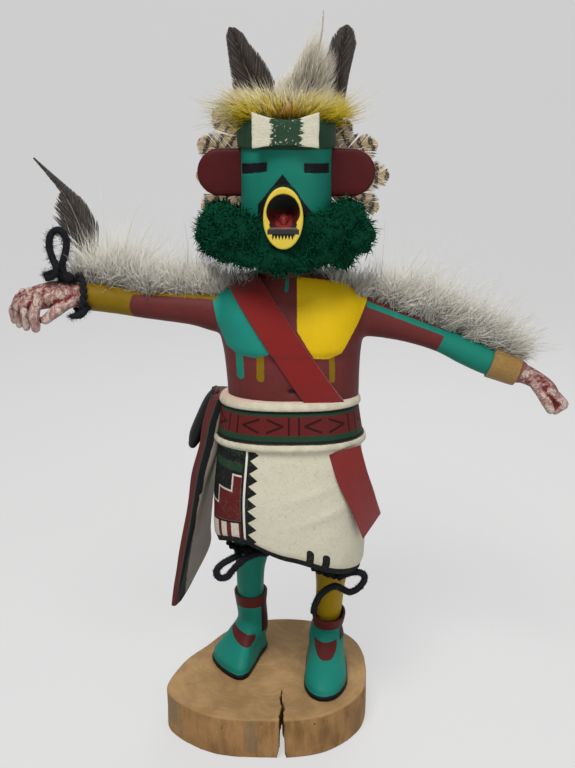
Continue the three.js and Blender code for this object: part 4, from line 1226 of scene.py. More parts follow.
def hand_finish(name, stretch):
    """Dark red dabbed over with pinkish white on all that stands out, and bare in the grooves."""
    finish, relief = painted(name, lit(98, 34, 33))
    up = finish.mark("along")
    dabs = finish.noise(2.2, 4.0, 0.68, stretch=stretch, bend=0.8)
    finish.coat((up * 1.5 + (dabs - 0.51) * 3.2).over(0.45), lit(152, 120, 114))
    finish.coat((up * 1.3 + (dabs - 0.62) * 4.2).over(0.4) * 0.8, lit(194, 182, 170))
    fine = finish.noise(0.6, 3.0, 0.7)
    finish.coat((fine - 0.57).over(0.1) * 0.65, lit(104, 46, 44))
    return finish.done(0.6, 0.14, relief + dabs * 0.25, tone=0.12, size=3)


def hand(word, parts, dabs):
    """The palm and the fingers made one skin, with the height of each point kept for its paint."""
    paint = hand_finish(f"spotted_{word}_hand", dabs)
    keep_height(fused(word + "_hand", parts, 0.38, 2, paint, ["figure"]), 26)


def hand_pieces():
    """Both hands: a flattened bar for the palm, four bent fingers and a thumb."""
    palm = [
        [-86.5, -4.8, 204.6, 5.2, 5.2], [-96, -6, 205.4, 5.9, 6.8], [-103.5, -7.6, 204.8, 5.5, 7.8],
        [-109.5, -8, 203.2, 4.9, 7.8], [-114, -8, 201.4, 3.8, 6.6],
    ]
    parts = [plug(palm, 64, 90)]
    for x, y, z, thick, low in (
        (-105.4, -14.4, 204.2, 2.35, 192.6), (-110.0, -11.6, 204.6, 1.95, 192.4),
        (-113.8, -8.4, 203.9, 1.8, 192.8), (-116.8, -5.0, 202.0, 1.65, 193.8),
    ):
        knuckle = [x - 1.3, y - 2.4, (z + low) / 2 + 0.6]
        parts.append(finger([x, y, z], knuckle, [x - 1.0, y - 2.0, low], thick))
    parts.append(finger([-92.0, -10.2, 203.0], [-97.0, -13.8, 200.2], [-102.4, -15.0, 196.0], 2.5))
    hand("right", parts, (1, 1, 0.6))
    palm = [
        [101, -5, 170.8, 4.4, 4.6], [108.4, -5.5, 167.4, 3.9, 5.6], [114.4, -6, 162.6, 4.0, 6.2],
        [116.8, -6.4, 157.4, 3.4, 5.8],
    ]
    parts = [plug(palm, 64, 90)]
    for i in range(4):
        y = -11.4 + 3.5 * i
        parts.append(finger([116.2, y, 161.6], [120.4, y, 157.6], [117.2, y + 0.4, 154.4], 2.1))
    parts.append(finger([108.6, -9.8, 165.2], [112.6, -12.2, 159.2], [114.6, -12.6, 155.4], 2.3))
    hand("left", parts, (0.7, 1, 1))


body_piece()
hand_pieces()

# ---- belt and kilt ------------------------------------------------------------------------


BELT_LOW, BELT_HIGH = 143.4, 156.8
BELT_MIDDLE, RED_BAND = 150.3, 150.9


def belt_piece():
    """Two rolls of white cloth with the woven belt between them: a stack of squared rings whose
    half width swells at each roll."""
    rows = []
    for z, out in [
        (138.4, -3.5), (139.0, -1.2), (139.9, 0.4), (141.0, 1.15), (142.2, 1.05), (143.0, 0.5),
        (143.5, 0.05), (146, 0.0), (150, 0.0), (154, 0.1), (156.6, 0.15), (157.2, 0.9),
        (158.4, 1.45), (159.8, 1.1), (160.8, 0.1), (161.2, -1.4), (161.0, -3.4),
    ]:
        slim = 1.3 - 2.3 * (z - BELT_LOW) / 13.2
        rows.append([z, *WAIST, 31.2 + slim + out, 27 + 0.8 * slim + out, 2.3])
    grid = stack(rows, 192, 88, WAIST_LIFT)
    level = grid[..., 2] + WAIST_LIFT * (grid[..., 1] - WAIST[1]) / 27
    roll = ease(BELT_LOW - level) + ease(level - BELT_HIGH)
    grid = raised_by(grid, unevenness(grid, 9, 0.2, 2) * roll + unevenness(grid, 4, 0.04, 5))
    build_wood("belt_and_rolls", [skin(capped(grid))], belt_finish())


def round_the_waist(finish, centre):
    """The angle round a centre in degrees, from the doll's left by its back."""
    x, y, _ = finish.place()
    return x.math("ARCTAN2", y - centre[1], x - centre[0]) * (360 / float(TAU))


def belt_finish():
    finish, relief = painted("belt_paint", WHITE, brush=(0.4, 0.4, 1))
    z = finish.place()[2]
    angle = round_the_waist(finish, WAIST)
    level = z + (angle * float(TAU / 360)).sin() * WAIST_LIFT
    waver = finish.wander() * 0.35
    for middle, half, color in (
        (BELT_MIDDLE, 7.3, BLACK), (BELT_MIDDLE, 5.9, LEAF_GREEN), (RED_BAND, 4.1, DARK_RED),
    ):
        finish.coat((level.near(middle, half) + waver).over(0.2), color)
    period, arc = 55.4, 0.53
    t = (angle + 142 + period / 2) % period - period / 2
    bars = (0.45 - abs(abs(t) - 4.6) * arc).low(level.near(RED_BAND, 3.9))
    q = period / 2 - abs(t)
    slant = abs((17.8 - q) * (arc * 0.37) - abs(level - RED_BAND))
    arrows = (0.50 - slant * 0.94).low(q * arc - 1.7, (18.6 - q) * arc)
    finish.coat((bars.high(arrows) + waver * 0.4).over(0.2), lit(44, 12, 14))
    dirt_and_shade = finish.noise(5, 4.0, 0.65)
    rolls = (level - 157.4).over(0.4) + (143.2 - level).over(0.4)
    # Greyer blotches on the rolls: dirt, and painted shade in their soft folds.
    finish.coat(rolls * (dirt_and_shade - 0.52).over(0.3) * 0.5, lit(150, 136, 112))
    finish.coat((level - 160.6 + (dirt_and_shade - 0.5) * 3).over(0.3) * 0.7, lit(200, 168, 156))
    weave = level.near(BELT_MIDDLE, 7.0).over(0.6) * finish.noise(0.5, 2.0)
    relief = relief + weave * 0.05 + finish.noise(1.2, 4.0, 0.65) * 0.15
    return finish.done(0.62, 0.14, relief, tone=0.08, size=5)


HEM = [81, 84, 87, 89, 91, 92, 91, 96, 98, 91.5, 84.5, 81]
KILT_TOP = 139.0
KILT_CENTRE = (1.0, -2.0)


def kilt_piece():
    """The kilt hangs from the roll to a wavy hem. Its profile at each angle runs down the outside,
    round the hem's edge, up the inside and across under the hips. "along" keeps how far a point
    of the outside is above the hem."""
    sides, rows = 240, 84
    angle = circle(sides)
    hem = through(HEM, sides, closed=True)
    c, s = squared_circle(angle, 2.4)
    down = np.linspace(-0.06, 1, rows)[:, None]
    swell = 2.4 * np.sin(np.pi * 0.72 * np.clip(down, 0, 1)) - 1.2 * ease((down - 0.9) / 0.1)
    rx, ry = 32 + swell, 27.6 + 1.1 * swell
    z = KILT_TOP + (hem - KILT_TOP) * down
    outer = np.stack([KILT_CENTRE[0] + rx * c, KILT_CENTRE[1] + ry * s, z], -1)
    folds = 0.42 * np.sin(5 * angle + 0.6) * ease((down - 0.35) / 0.6)
    folds = folds * (0.6 + 0.4 * np.sin(2 * angle))
    x, y, above = outer[..., 0], outer[..., 1], z - hem
    crease = 0.55 * bell((z - (111 + 0.33 * (x - 12))) / 2.4) * bell((x - 16) / 12)
    crease += 0.4 * bell((z - (121 + 0.30 * (x - 6))) / 2.2) * bell((x - 10) / 11)
    outer = raised_by(outer, folds - crease * (y < 0) + unevenness(outer, 9, 0.25, 1))
    edge = outer[-1]
    centre = np.array([*KILT_CENTRE, 0.0])
    inward = unit((centre - edge) * [1, 1, 0])
    inner = [
        edge + inward * deep + [0, 0, up]
        for deep, up in ((0.35, -0.25), (0.95, -0.1), (1.4, 0.5), (1.9, 4))
    ]
    under = edge + inward * 4.0
    under[:, 2] = np.maximum(edge[:, 2] + 6, 95)
    middle = np.repeat(np.array([[KILT_CENTRE[0], -1.0, 98.0]]), sides, 0)
    inner += [under, under * 0.5 + middle * 0.5, middle]
    top = np.repeat(np.array([[*KILT_CENTRE, KILT_TOP + 2.4]]), sides, 0)
    grid = np.concatenate([top[None], outer, np.array(inner)])
    marks = np.concatenate([np.full((1, sides), 50.0), above, np.full((len(inner), sides), -0.5)])
    build_wood("kilt", [skin(grid, marks=np.stack([marks, marks * 0], -1))], kilt_finish())


def kilt_finish():
    finish, relief = painted("kilt_paint", WHITE, brush=(0.7, 0.7, 0.7))
    z = finish.place()[2]
    angle = round_the_waist(finish, KILT_CENTRE)
    above = finish.mark("along")
    waver = finish.wander() * 0.4
    faint = finish.noise(14, 4.0, 0.6)
    finish.coat((faint - 0.52).over(0.25) * 0.35, lit(196, 188, 164))
    arc = 0.55
    s = (angle + 177) * arc
    right = 49.5 * arc
    panel = s.near(right / 2 - 2, right / 2 + 2)
    finish.coat((panel + waver).over(0.2), BLACK)
    inside = (right - 1.4 - s).low(s + 3.5)

    def paint(distance, color):
        finish.coat((distance.low(inside) + waver).over(0.2), color)

    paint(z.near(141.6, 2.3), LEAF_GREEN)
    paint(z.near(133.3, 1.9), LEAF_GREEN)
    floor = 104.8 + s * 0.17
    step_a, step_b = 38 * arc, 21.8 * arc
    stair = (130.0 - z).low(s - step_a)
    stair = stair.high((122.6 - z).low(s - step_b), (114.8 - (step_b - s) * 0.1 - z).low(s + 4))
    paint(stair.low(z - floor), lit(200, 194, 182))
    paint((stair - 0.8).low(z - floor), DARK_RED)
    stripes = floor - 1.0 - z
    paint(stripes, DARK_RED)
    for a, b in ((-168, -154), (-150, -144), (-139.4, -132)):
        middle, half = ((a + b) / 2 + 177) * arc, (b - a) / 2 * arc
        paint(stripes.low(s.near(middle, half)), lit(204, 192, 180))
    tooth = abs((z - 142.5) % 5.56 - 2.78) / 2.78
    teeth = (60.4 * arc - tooth * 3.9 - s).low(s - 50.9 * arc)
    finish.coat((teeth + waver * 0.5).over(0.2), BLACK)
    finish.coat((s.near(50.1 * arc, 0.5) + waver * 0.3).over(0.15), lit(212, 210, 198))
    for a in (-73.2, -60):
        tick = 1.7 - distance((angle - a) * arc, (above - 6.9).high(0))
        finish.coat((tick + waver).over(0.2), BLACK)
    for a, half, color in ((-4, 3.4, BLACK), (-3, 2.2, DARK_RED)):
        finish.coat((angle.near(a, half) * arc + waver).over(0.2) * (z - 112).over(1), color)
    finish.coat((2.7 - above + waver).over(), BLACK)
    cracks = abs(finish.noise(5, 3.0, 0.6, bend=1.2) - 0.5)
    finish.coat((0.006 - cracks).over(0.008) * 0.35, lit(120, 112, 92))
    relief = relief + finish.noise(1.6, 4.0, 0.7) * 0.28
    return finish.done(0.68, 0.14, relief, tone=0.05, size=7)


belt_piece()
kilt_piece()

# ---- legs and moccasins -------------------------------------------------------------------

RIGHT_LEG = [
    [-17, 0, 112, 9.5, 10], [-16.8, 2, 96, 9, 9.4], [-16.8, 4, 84, 8.6, 8.8],
    [-17.6, 7, 72, 6.9, 7.6], [-17.8, 10, 60, 6.3, 7.2], [-17.4, 15, 42, 6, 7],
]
LEFT_LEG = [
    [18, 0, 110, 9.5, 10], [19.6, 0, 92, 9, 9.4], [20.6, 1, 76, 8, 8.6],
    [20.4, 4, 64, 6.7, 7.4], [19.8, 7, 52, 6.4, 7], [19, 9, 40, 6, 6.8],
]
RIGHT_SOLE = [
    [-17, 30], [-26, 26.5], [-33, 19.5], [-37, 12], [-34.6, 3.5], [-29.6, -4],
    [-24, -9], [-19.5, -7.5], [-16.6, 0], [-13.4, 11.5], [-10, 24],
]
LEFT_SOLE = [
    [18.5, 27], [25.4, 23.5], [28.2, 14], [28.6, 0], [27.6, -14], [22.6, -24.6],
    [16, -27.4], [10.8, -24], [7.8, -15], [8.6, -1], [9.6, 12], [11.6, 23],
]


def leg_piece(word, rows, color):
    grid = bar(rows, 72, 64)
    grid = raised_by(grid, unevenness(grid, 11, 0.14))
    finish, relief = painted(word + "_leg_paint", color, brush=(1, 1, 0.3))
    made = finish.done(0.5, 0.16, relief, tone=0.09, size=8)
    build_wood(word + "_leg", [skin(capped(grid))], made)


def moccasin_piece(word, sole, ankle, top, instep, dips):
    """The sole's outline shrinks towards the ankle as it rises, then runs straight up the shaft,
    and the shaft's mouth rolls over to its inside."""
    sides = 110
    outline = through(sole, sides, closed=True)
    offset = outline - ankle
    away = np.linalg.norm(offset, axis=1, keepdims=True)
    heading = offset / away
    rise = top[2] - SOLE

    def foot(z, towards, out):
        flat = ankle + offset * (1 - towards + towards * 8.2 / away + out / away)
        return np.concatenate([flat, np.full((sides, 1), z)], 1)

    def shaft(z, wide, deep, x, y):
        return np.stack([x + wide * heading[:, 0], y + deep * heading[:, 1], np.full(sides, z)], -1)

    nearly = ankle + 0.8 * (np.array(top[:2]) - ankle)
    rings = [
        foot(SOLE + up, towards, out)
        for up, towards, out in (
            (0, 0, -0.3), (0.5, 0, 0), (1.6, 0, 0), (2.1, 0, -0.3), (2.6, 0, -0.8),
            (5, 0.05, -0.6), (8, 0.2, -1), (11, 0.45, -0.6), (14, 0.7, 0),
        )
    ]
    rings += [shaft(SOLE + 20, 7.4, 8.2, *ankle), shaft(SOLE + rise * 0.8, 7.3, 8, *nearly)]
    for down, wide in ((0.8, 7.9), (0.1, 7.7), (0, 7.2), (0.6, 6.6), (2, 6.0)):
        rings.append(shaft(top[2] - down, wide, wide + 0.8, top[0], top[1]))
    grid = through(np.array(rings), 110)
    dip = ease((grid[..., 2] - top[2] + 12) / 10) * ease(0.5 - (grid[..., 1] - top[1]) / 12)
    grid[..., 2] = np.maximum(grid[..., 2] - dips * dip, SOLE)
    risen = ease((grid[..., 2] - SOLE - 3) / 4)
    grid = raised_by(grid, unevenness(grid, 10, 0.2, 2) * risen)
    finish, relief = painted(word + "_moccasin_paint", TURQUOISE, brush=(0.7, 0.5, 1))
    x, y, z = finish.place()
    waver = finish.wander() * 0.5
    front_dip = dips * (0.5 - (y - top[1]) / 12).high(0).low(1)
    finish.coat((z - (top[2] - 6.2) + front_dip + waver).over(0.3), BAND_RED)
    patch_x, patch_z, wide, tall, tilt = instep
    u = (x - patch_x) / wide
    v = (patch_z - tilt * (x - patch_x) - z) / tall
    patch = (v * tall).low((1 - (u * u * abs(u) + v * v * abs(v))) * wide * 0.5)
    finish.coat((patch + waver).over(0.3) * (ankle[1] - 1 - y).over(0.5), BAND_RED)
    strip = (x - top[0] - 5.2).low(z - SOLE - 15, y - top[1] + 5)
    finish.coat((strip + waver).over(0.3), lit(56, 24, 24))
    finish.coat((SOLE + 2.3 - z + waver).over(0.25), BLACK)
    made = finish.done(0.5, 0.16, relief, tone=0.08, size=8)
    build_wood(word + "_moccasin", [skin(capped(grid))], made)


leg_piece("right", RIGHT_LEG, DEEP_TURQUOISE)
leg_piece("left", LEFT_LEG, lit(150, 122, 16))
moccasin_piece(
    "right", RIGHT_SOLE, ankle=np.array([-17.0, 16.0]), top=(-17.8, 11.5, 57.5),
    instep=(-21.4, 36.8, 6.0, 4.4, 0.22), dips=0.6,
)
moccasin_piece(
    "left", LEFT_SOLE, ankle=np.array([19.0, 9.5]), top=(19.8, 6.0, 50.0),
    instep=(18.2, 36.8, 5.4, 4.6, 0.0), dips=2.6,
)

# ---- straps, sash and cuff ----------------------------------------------------------------

STRAP_WIDTH = 13.4
STRAP_TOP, STRAP_BOTTOM = (-18.4, 211.0), (14.0, 164.5)
STRAP_FOOT = 161.2
TAIL_WIDTH = 13.6


def leather(name, color, dark, nap=0.5):
    finish = Finish(name, color, Specular_IOR_Level=0.25, Sheen_Weight=0.25, Sheen_Roughness=0.5)
    pores = finish.noise(0.45, 3.0, 0.65)
    finish.coat((finish.noise(2.2, 4.0, 0.6) - 0.5).over(0.5) * 0.35, dark)
    return finish, pores * 0.16 * nap + finish.noise(1.6, 3.0, 0.6) * 0.2 * nap


def strap_piece():
    """The strap follows the trunk: across its width and along its slanting line, each point is
    pushed out to just clear of the trunk, on the chest and on the back."""
    (x0, z0), (x1, z1) = STRAP_TOP, STRAP_BOTTOM
    slope = np.array([x1 - x0, z1 - z0]) / math.dist(STRAP_TOP, STRAP_BOTTOM)
    side = np.array([-slope[1], slope[0]])
    table = through(TORSO, 200)

    def surface(x, z, sign, grow):
        cx, cy, rx, ry, power = (np.interp(z, table[:, 0], table[:, k]) for k in range(1, 6))
        across = np.clip(np.abs((x - cx) / (rx + grow)), 0, 1)
        deep = (ry + grow) * (1 - across**power) ** (1 / power)
        if sign < 0:
            swell = sum(pectoral(x, z, middle, PECTORAL_FOOT) for middle in PECTORALS)
            deep = deep + swell * chest_front(cy - deep)
        return cy + sign * deep

    across = np.linspace(-0.5, 0.5, 26)[:, None] * STRAP_WIDTH
    last = (STRAP_FOOT - z0 - side[1] * across) / slope[1]
    run = -3.2 + (last + 3.2) * np.linspace(0, 1, 120)[None]
    x = x0 + slope[0] * run + side[0] * across
    z = np.minimum(z0 + slope[1] * run + side[1] * across, 213.2)
    parts = []
    for sign in (-1, 1):
        inner, outer = (np.stack([x, surface(x, z, sign, grow), z], -1) for grow in (0.25, 1.15))
        outer = outer + unevenness(outer, 5, 0.06)[..., None] * [0, 1, 0]
        edges = [(outer[k] + inner[k])[None] / 2 for k in (-1, 0)]
        loop = np.concatenate([outer, edges[0], inner[::-1], edges[1]])
        parts.append(skin(capped(loop.transpose(1, 0, 2))))
    finish, relief = leather("strap_leather", lit(116, 14, 11), lit(94, 12, 10))
    made = finish.done(0.85, 0.08, relief, tone=0.08, size=5)
    build("strap_across_the_chest", parts, made, ["shoulder_strap"])


def tail_piece():
    """The strap's loose end: a thin ribbon between two edges, cut off on a slant."""
    rows = [
        # x, y, z and how far the ribbon is turned, in degrees
        [24.4, -25.9, 141.5, -8], [28.4, -24.9, 128, -20],
        [33.2, -22.5, 116, -38], [37.4, -19.8, 103.8, -52],
    ]
    line = through(rows, 80)
    turn = np.radians(line[:, 3])
    across = np.stack([np.cos(turn), -np.sin(turn), np.full(80, 0.27)], -1)
    out = unit(np.stack([np.sin(turn) * 0.2, -np.ones(80), np.zeros(80)], -1))
    slant = 1.9 * ease((np.arange(80) / 79 - 0.66) / 0.34)
    u = np.linspace(-0.5, 0.5, 22)
    face = line[:, None, :3] + across[:, None] * (u * TAIL_WIDTH)[None, :, None]
    face = face + np.array([0, 0, 1.0]) * (slant[:, None] * 2 * u[None])[..., None]
    face = face + out[:, None] * (0.15 * np.sin(line[:, 2] * 0.35))[:, None, None]
    half_thick = out[:, None] * 0.45
    loop = np.concatenate([face + half_thick, (face - half_thick)[:, ::-1]], 1)
    finish, relief = leather("tail_leather", lit(118, 30, 26), lit(98, 24, 22))
    made = finish.done(0.85, 0.08, relief, tone=0.08, size=5)
    build("strap_loose_end", [skin(capped(loop))], made, ["strap_tail"])


SASH = [
    # height, x of the front and rear edges, y of both, thickness
    [158, -32.4, -33, -6, 16, 3.4], [148, -35, -35, -8, 18, 4.8],
    [138, -36.8, -36.4, -9, 20, 5.2], [126, -40, -37.4, -10, 22, 5.2],
    [112, -42.6, -38, -10, 25, 5], [98, -45.2, -38.8, -10, 27.5, 4.6],
    [84, -48.2, -39.6, -9.5, 29, 4.2], [71, -51, -40.4, -8.5, 30, 3.6],
    [58, -53.2, -50.6, -7, 0, 2.4],
]
SASH_KNOT = [
    [-32.5, 8, 158.5, 1.6, 5], [-35.4, 8, 153.5, 2.6, 7], [-38.6, 8, 146, 3, 7.6],
    [-41.6, 8, 138, 3.3, 7.6], [-43.4, 8, 133.4, 2.2, 5.4],
]


def sash_piece():
    """A carved plank hanging at the right hip: an oblong section with rounded corners between a
    front and a rear edge, carried down, and the knot's drooping end beside its top."""
    table = through(SASH, 160)
    front = table[:, [1, 3, 0]]
    rear = table[:, [2, 4, 0]]
    across = unit(rear - front)
    long = np.linalg.norm(rear - front, axis=1)
    out = np.stack([-across[:, 1], across[:, 0], np.zeros(len(table))], -1)
    half = table[:, 5] / 2
    extra = np.interp(table[:, 0], [70, 98, 112, 130, 158], [0, 0.6, 1.6, 3.4, 4.6])
    corner = ((0.0, 0.0), (0.04, 0.5), (0.3, 0.85), (0.8, 1.0))
    u = [inset * half * 1.2 for inset, _ in corner]
    u += [half * 0.96 + t * (long - half * 1.92) for t in np.linspace(0, 1, 30)[1:-1]]
    u += [long - inset * half * 1.2 for inset, _ in corner[::-1]]
    share = np.array([s for _, s in corner] + [1.0] * 28 + [s for _, s in corner[::-1]])
    u = np.array(u + u[::-1]).T
    v = np.concatenate([share * half[:, None], -share * (half + extra)[:, None]], 1)
    fray = 1 - 0.25 * (1 + np.sin(table[:, 0] * 0.42) * 0.12) * ease((62 - table[:, 0]) / 20)
    grid = front[:, None] + across[:, None] * (u * fray[:, None])[..., None]
    grid = grid + out[:, None] * v[..., None]
    grid = grid + out[:, None] * unevenness(grid, 12, 0.35, 3)[..., None]
    parts = [skin(capped(grid)), plug(SASH_KNOT, 44, 56)]
    build("hip_sash_plank", parts, sash_finish(), ["hip_sash"])


def sash_finish():
    """The front edge is striped red, green and black, the outside is patterned, and the side
    towards the kilt is bare white."""
    finish, relief = painted("sash_paint", lit(84, 38, 38), brush=(1, 1, 0.3))
    x, y, z = finish.place()
    waver = finish.wander() * 0.5
    left = 0
    for above, below in zip(SASH[:-1], SASH[1:]):
        high, low = above[0], below[0]
        x_high, x_low = above[1] - above[5] / 2, below[1] - below[5] / 2
        line = (z - low) * ((x_high - x_low) / (high - low)) + x_low
        left = line * (z - low).over(0.01) * (high - z).over(0.01) + left
    across = x - left - (y + 10).high(0) * 0.05
    finish.coat((across - 2.5 + waver).over(0.3), lit(52, 62, 52))
    finish.coat((across - 3.1 + waver).over(0.3), BLACK)
    inner = across - 5.3 + (z - 115).over(1) * -0.9 + (finish.noise(5, 2.0) - 0.5) * 1.2
    finish.coat(inner.over(), lit(138, 128, 116))
    finish.coat(inner.over() * (finish.noise(9, 3.0) - 0.5).over(0.3) * 0.4, lit(120, 112, 98))
    outside = (1.2 - across - (y + 10) * 0.02).low(y + 7)
    t = abs((z - 60) % 16.0 - 8.0)
    diamond = (5.0 - t * 0.9 - abs(y - 10) * 0.9).low(outside + 3)
    for inset, color in ((0, BLACK), (1.6, LEAF_GREEN)):
        finish.coat((diamond - inset + waver).over() * (0.4 - across).over(0.2), color)
    knot = (z - 130).low(12.5 - abs(y - 8), -32.8 - x - (158.5 - z) * 0.27)
    finish.coat(knot.over(0.5), lit(30, 29, 30))
    return finish.done(0.6, 0.14, relief, tone=0.12, size=6)


def cuff_piece():
    """A stiff leather band round the left wrist: a thin-walled tube with a dark tab behind it."""
    start, end = np.array([89.2, -4.0, 174.8]), np.array([100.6, -4.9, 170.8])
    along = unit(end - start)
    back, up = crosswise(along)
    long = float(np.linalg.norm(end - start))
    profile = [
        # along the band, and radius
        [0, 6.2], [-0.1, 6.6], [0, 7.0], [0.5, 7.15], [long * 0.5, 7.0], [long - 0.5, 6.75],
        [long, 6.6], [long + 0.1, 6.2], [long, 5.9], [long * 0.5, 6.0],
    ]
    run, radius = through(profile, 70, closed=True).T
    angle = circle(110)
    wave = 1 + 0.012 * np.sin(3 * angle) + 0.008 * np.sin(7 * angle)
    ring = up * np.cos(angle)[:, None] + back * np.sin(angle)[:, None]
    grid = start + along * run[:, None, None] + ring * (radius[:, None] * wave)[..., None]
    grid = grid + ring * unevenness(grid, 4, 0.1)[..., None]
    finish, relief = leather("cuff_leather", lit(144, 112, 60), lit(112, 82, 40), 1.2)
    finish.coat((finish.noise(0.7, 3.0) - 0.6).over(0.15) * 0.5, lit(96, 68, 32))
    made = finish.done(0.85, 0.08, relief, tone=0.12, size=3)
    build("leather_cuff", [skin(grid, rows_closed=True)], made, ["wrist_cuff"])
    tab, _ = leather("tab_leather", lit(58, 44, 34), lit(36, 26, 20))
    leaf = [
        [97.0, 1.4, 176.6, 0.6, 1.8], [100.0, 1.8, 177.4, 0.8, 2.4],
        [102.6, 2.0, 177.2, 0.7, 1.8], [104.8, 2.2, 176.0, 0.3, 0.6],
    ]
    build("cuff_tab", [plug(leaf, 20, 30)], tab.done(0.85, 0.08), ["wrist_cuff"])


strap_piece()
tail_piece()
sash_piece()
cuff_piece()

# ---- feathers -----------------------------------------------------------------------------

SHAFT = -1.0  # kept in "along" and "chance" on the shafts, whose finish differs from the barbs'
UPRIGHT_Y = 8.5
UPRIGHTS = {
    "right": {
        "outline": [
            [-12, 275], [-20.5, 284.6], [-23.5, 291], [-25.8, 311.5], [-24.4, 314.8],
            [-21.6, 314.6], [-18.4, 312.4], [-16, 308.6], [-12, 304.6], [-8.6, 300], [-5, 293],
            [0, 286], [2, 278],
        ],
        "spine": [[-7.5, 275], [-13.5, 290], [-18.8, 302], [-22.6, 313.6]],
    },
    "left": {
        "outline": [
            [19, 272], [13.4, 284], [12.6, 291], [14.6, 299], [18.4, 311], [21.6, 314.6],
            [24.8, 316], [27.6, 313.8], [28.9, 308.4], [27.9, 304.4], [26, 296], [24, 284],
            [23, 272],
        ],
        "spine": [[21, 272], [20.2, 284], [21.4, 297], [24.6, 314.8]],
    },
}
WRIST_Y = 12.6
WRIST_OUTLINE = [
    [-86, 212], [-96.6, 223.6], [-103.6, 236], [-102, 243], [-99, 247.4], [-104.6, 254.6],
    [-110, 261.8], [-101.6, 254.6], [-95, 249], [-88.6, 243.6], [-83, 234], [-82, 222],
]
WRIST_SPINE = [[-84, 214], [-89, 226], [-94.4, 240], [-100, 250], [-109.6, 261.4]]


def reach_to(outline, roots, aims):
    """How far each root is from the outline along its aim: the nearest crossing of the ray
    root + t * aim with the outline's edges."""
    p = np.asarray(outline, float)
    q = np.roll(p, -1, 0)
    edge = (q - p)[None]
    gap = p[None] - roots[:, None]
    cross = aims[:, None, 0] * edge[..., 1] - aims[:, None, 1] * edge[..., 0]
    cross = np.where(np.abs(cross) < 1e-6, 1e-6, cross)
    t = (gap[..., 0] * edge[..., 1] - gap[..., 1] * edge[..., 0]) / cross
    u = (gap[..., 0] * aims[:, None, 1] - gap[..., 1] * aims[:, None, 0]) / cross
    t = np.where((t > 0.02) & (u >= -0.01) & (u <= 1.01), t, 1e3)
    return t.min(1)


def vane(outline, spine, y, each_side, lean, width, ragged, part, dice, cup=1.0):
    """A flat feather: barbs leave a curved shaft on both sides, lean towards the tip and end on
    the outline, and the shaft tapers. ragged shortens the barbs of each side at random, cup bends
    their ends forward, and part opens gaps."""
    line = through(spine, 200)
    slope = unit(np.gradient(line, axis=0))
    face = np.array([0.0, 1.0, 0.0])
    parts = []
    for sign, loss in zip((-1, 1), ragged):
        t = np.linspace(0.02, 0.995, each_side)
        k = (t * 199).astype(int)
        roots, along = line[k], slope[k]
        tilt = np.radians(lean) * (1 - 0.35 * t) + dice.normal(size=each_side) * 0.03
        tilt = tilt + part * np.sin(t * 31 + sign) * np.sin(t * 17)
        c, s = np.cos(tilt), np.sin(tilt) * sign
        aims = np.stack([along[:, 0] * c - along[:, 1] * s, along[:, 0] * s + along[:, 1] * c], -1)
        lengths = reach_to(outline, roots, aims)
        lengths = np.where(lengths > 60, 2.0, lengths) * (1 - loss * dice.random(each_side))
        layer = y + 0.16 * np.where(np.arange(each_side) % 2, 1, -1)
        layer = layer + 0.05 * dice.normal(size=each_side)
        bends = (standing(along, 0) * 0.12 + [0, -0.05 * cup, 0]) * 0.7
        widths = width * dice.uniform(0.85, 1.15, each_side)
        roots, aims, chance = standing(roots, layer), standing(aims, 0) - bends, t * 0.98 + 0.01
        parts.append(strands(roots, aims, lengths, bends, widths, BARB, chance, 4, 0.2, face))
    thick = [np.linspace(0.6, tip, 200) for tip in (0.12, 0.15)]
    rows = np.concatenate([standing(line, y), np.transpose(thick)], 1)
    points, quads, triangles, _ = skin(capped(bar(rows[::4], 8, 50)))
    parts.append((points, quads, triangles, np.full((len(points), 2), SHAFT)))
    return parts


def feather_finish(name, color, light, dark, bars=None):
    """Barbs with a fine streak along each, mottled, lighter at the shaft. bars is the finish's
    function for the dark bars across the vane."""
    finish = Finish(name, color, Specular_IOR_Level=0.3, Sheen_Weight=0.15)
    along, chance = finish.mark("along"), finish.mark("chance")
    finish.coat((finish.noise(2.4, 4.0, 0.65) - 0.48).over(0.3) * 0.6, dark)
    if bars:
        bars(finish, along)
    finish.coat((finish.noise(0.6, 3.0, 0.6, stretch=(1, 1, 0.4)) - 0.6).over(0.15) * 0.5, light)
    finish.coat((-0.5 - chance).over(0.2), light)
    relief = finish.noise(0.3, 2.0) * 0.1
    return finish.done(0.62, 0.16, relief, tone=0.14, size=1.6)


def dark_feather_pieces(dice):
    """The two that stand up from the band, and the one at the right wrist."""
    finish = feather_finish("dark_feather", lit(48, 38, 34), lit(84, 72, 64), lit(30, 23, 21))
    for word, feather in UPRIGHTS.items():
        outline, spine = feather["outline"], feather["spine"]
        parts = vane(outline, spine, UPRIGHT_Y, 190, 30, 0.42, (0.01, 0.02), 0.012, dice)
        build("tall_feather_" + word, parts, finish, ["upright_feather_" + word])
    grey = feather_finish("wrist_feather", lit(56, 50, 45), lit(106, 97, 87), lit(38, 33, 30))
    parts = vane(WRIST_OUTLINE, WRIST_SPINE, WRIST_Y, 170, 24, 0.44, (0.03, 0.3), 0.07, dice)
    build("feather_at_the_wrist", parts, grey, ["wrist_feather"])


FAN_MIDDLE = (0.8, 253.0)
FAN_Y, FAN_LAYER = 21.6, 1.25
FAN_HALF_WIDTH = 7.6
FAN_LENGTHS = [42.5, 44.5, 41.5, 35.5, 36, 37, 37, 36, 43.5, 43, 41.5, 42]
FAN_ANGLES = np.radians(-20 + 220 * np.arange(12) / 11)


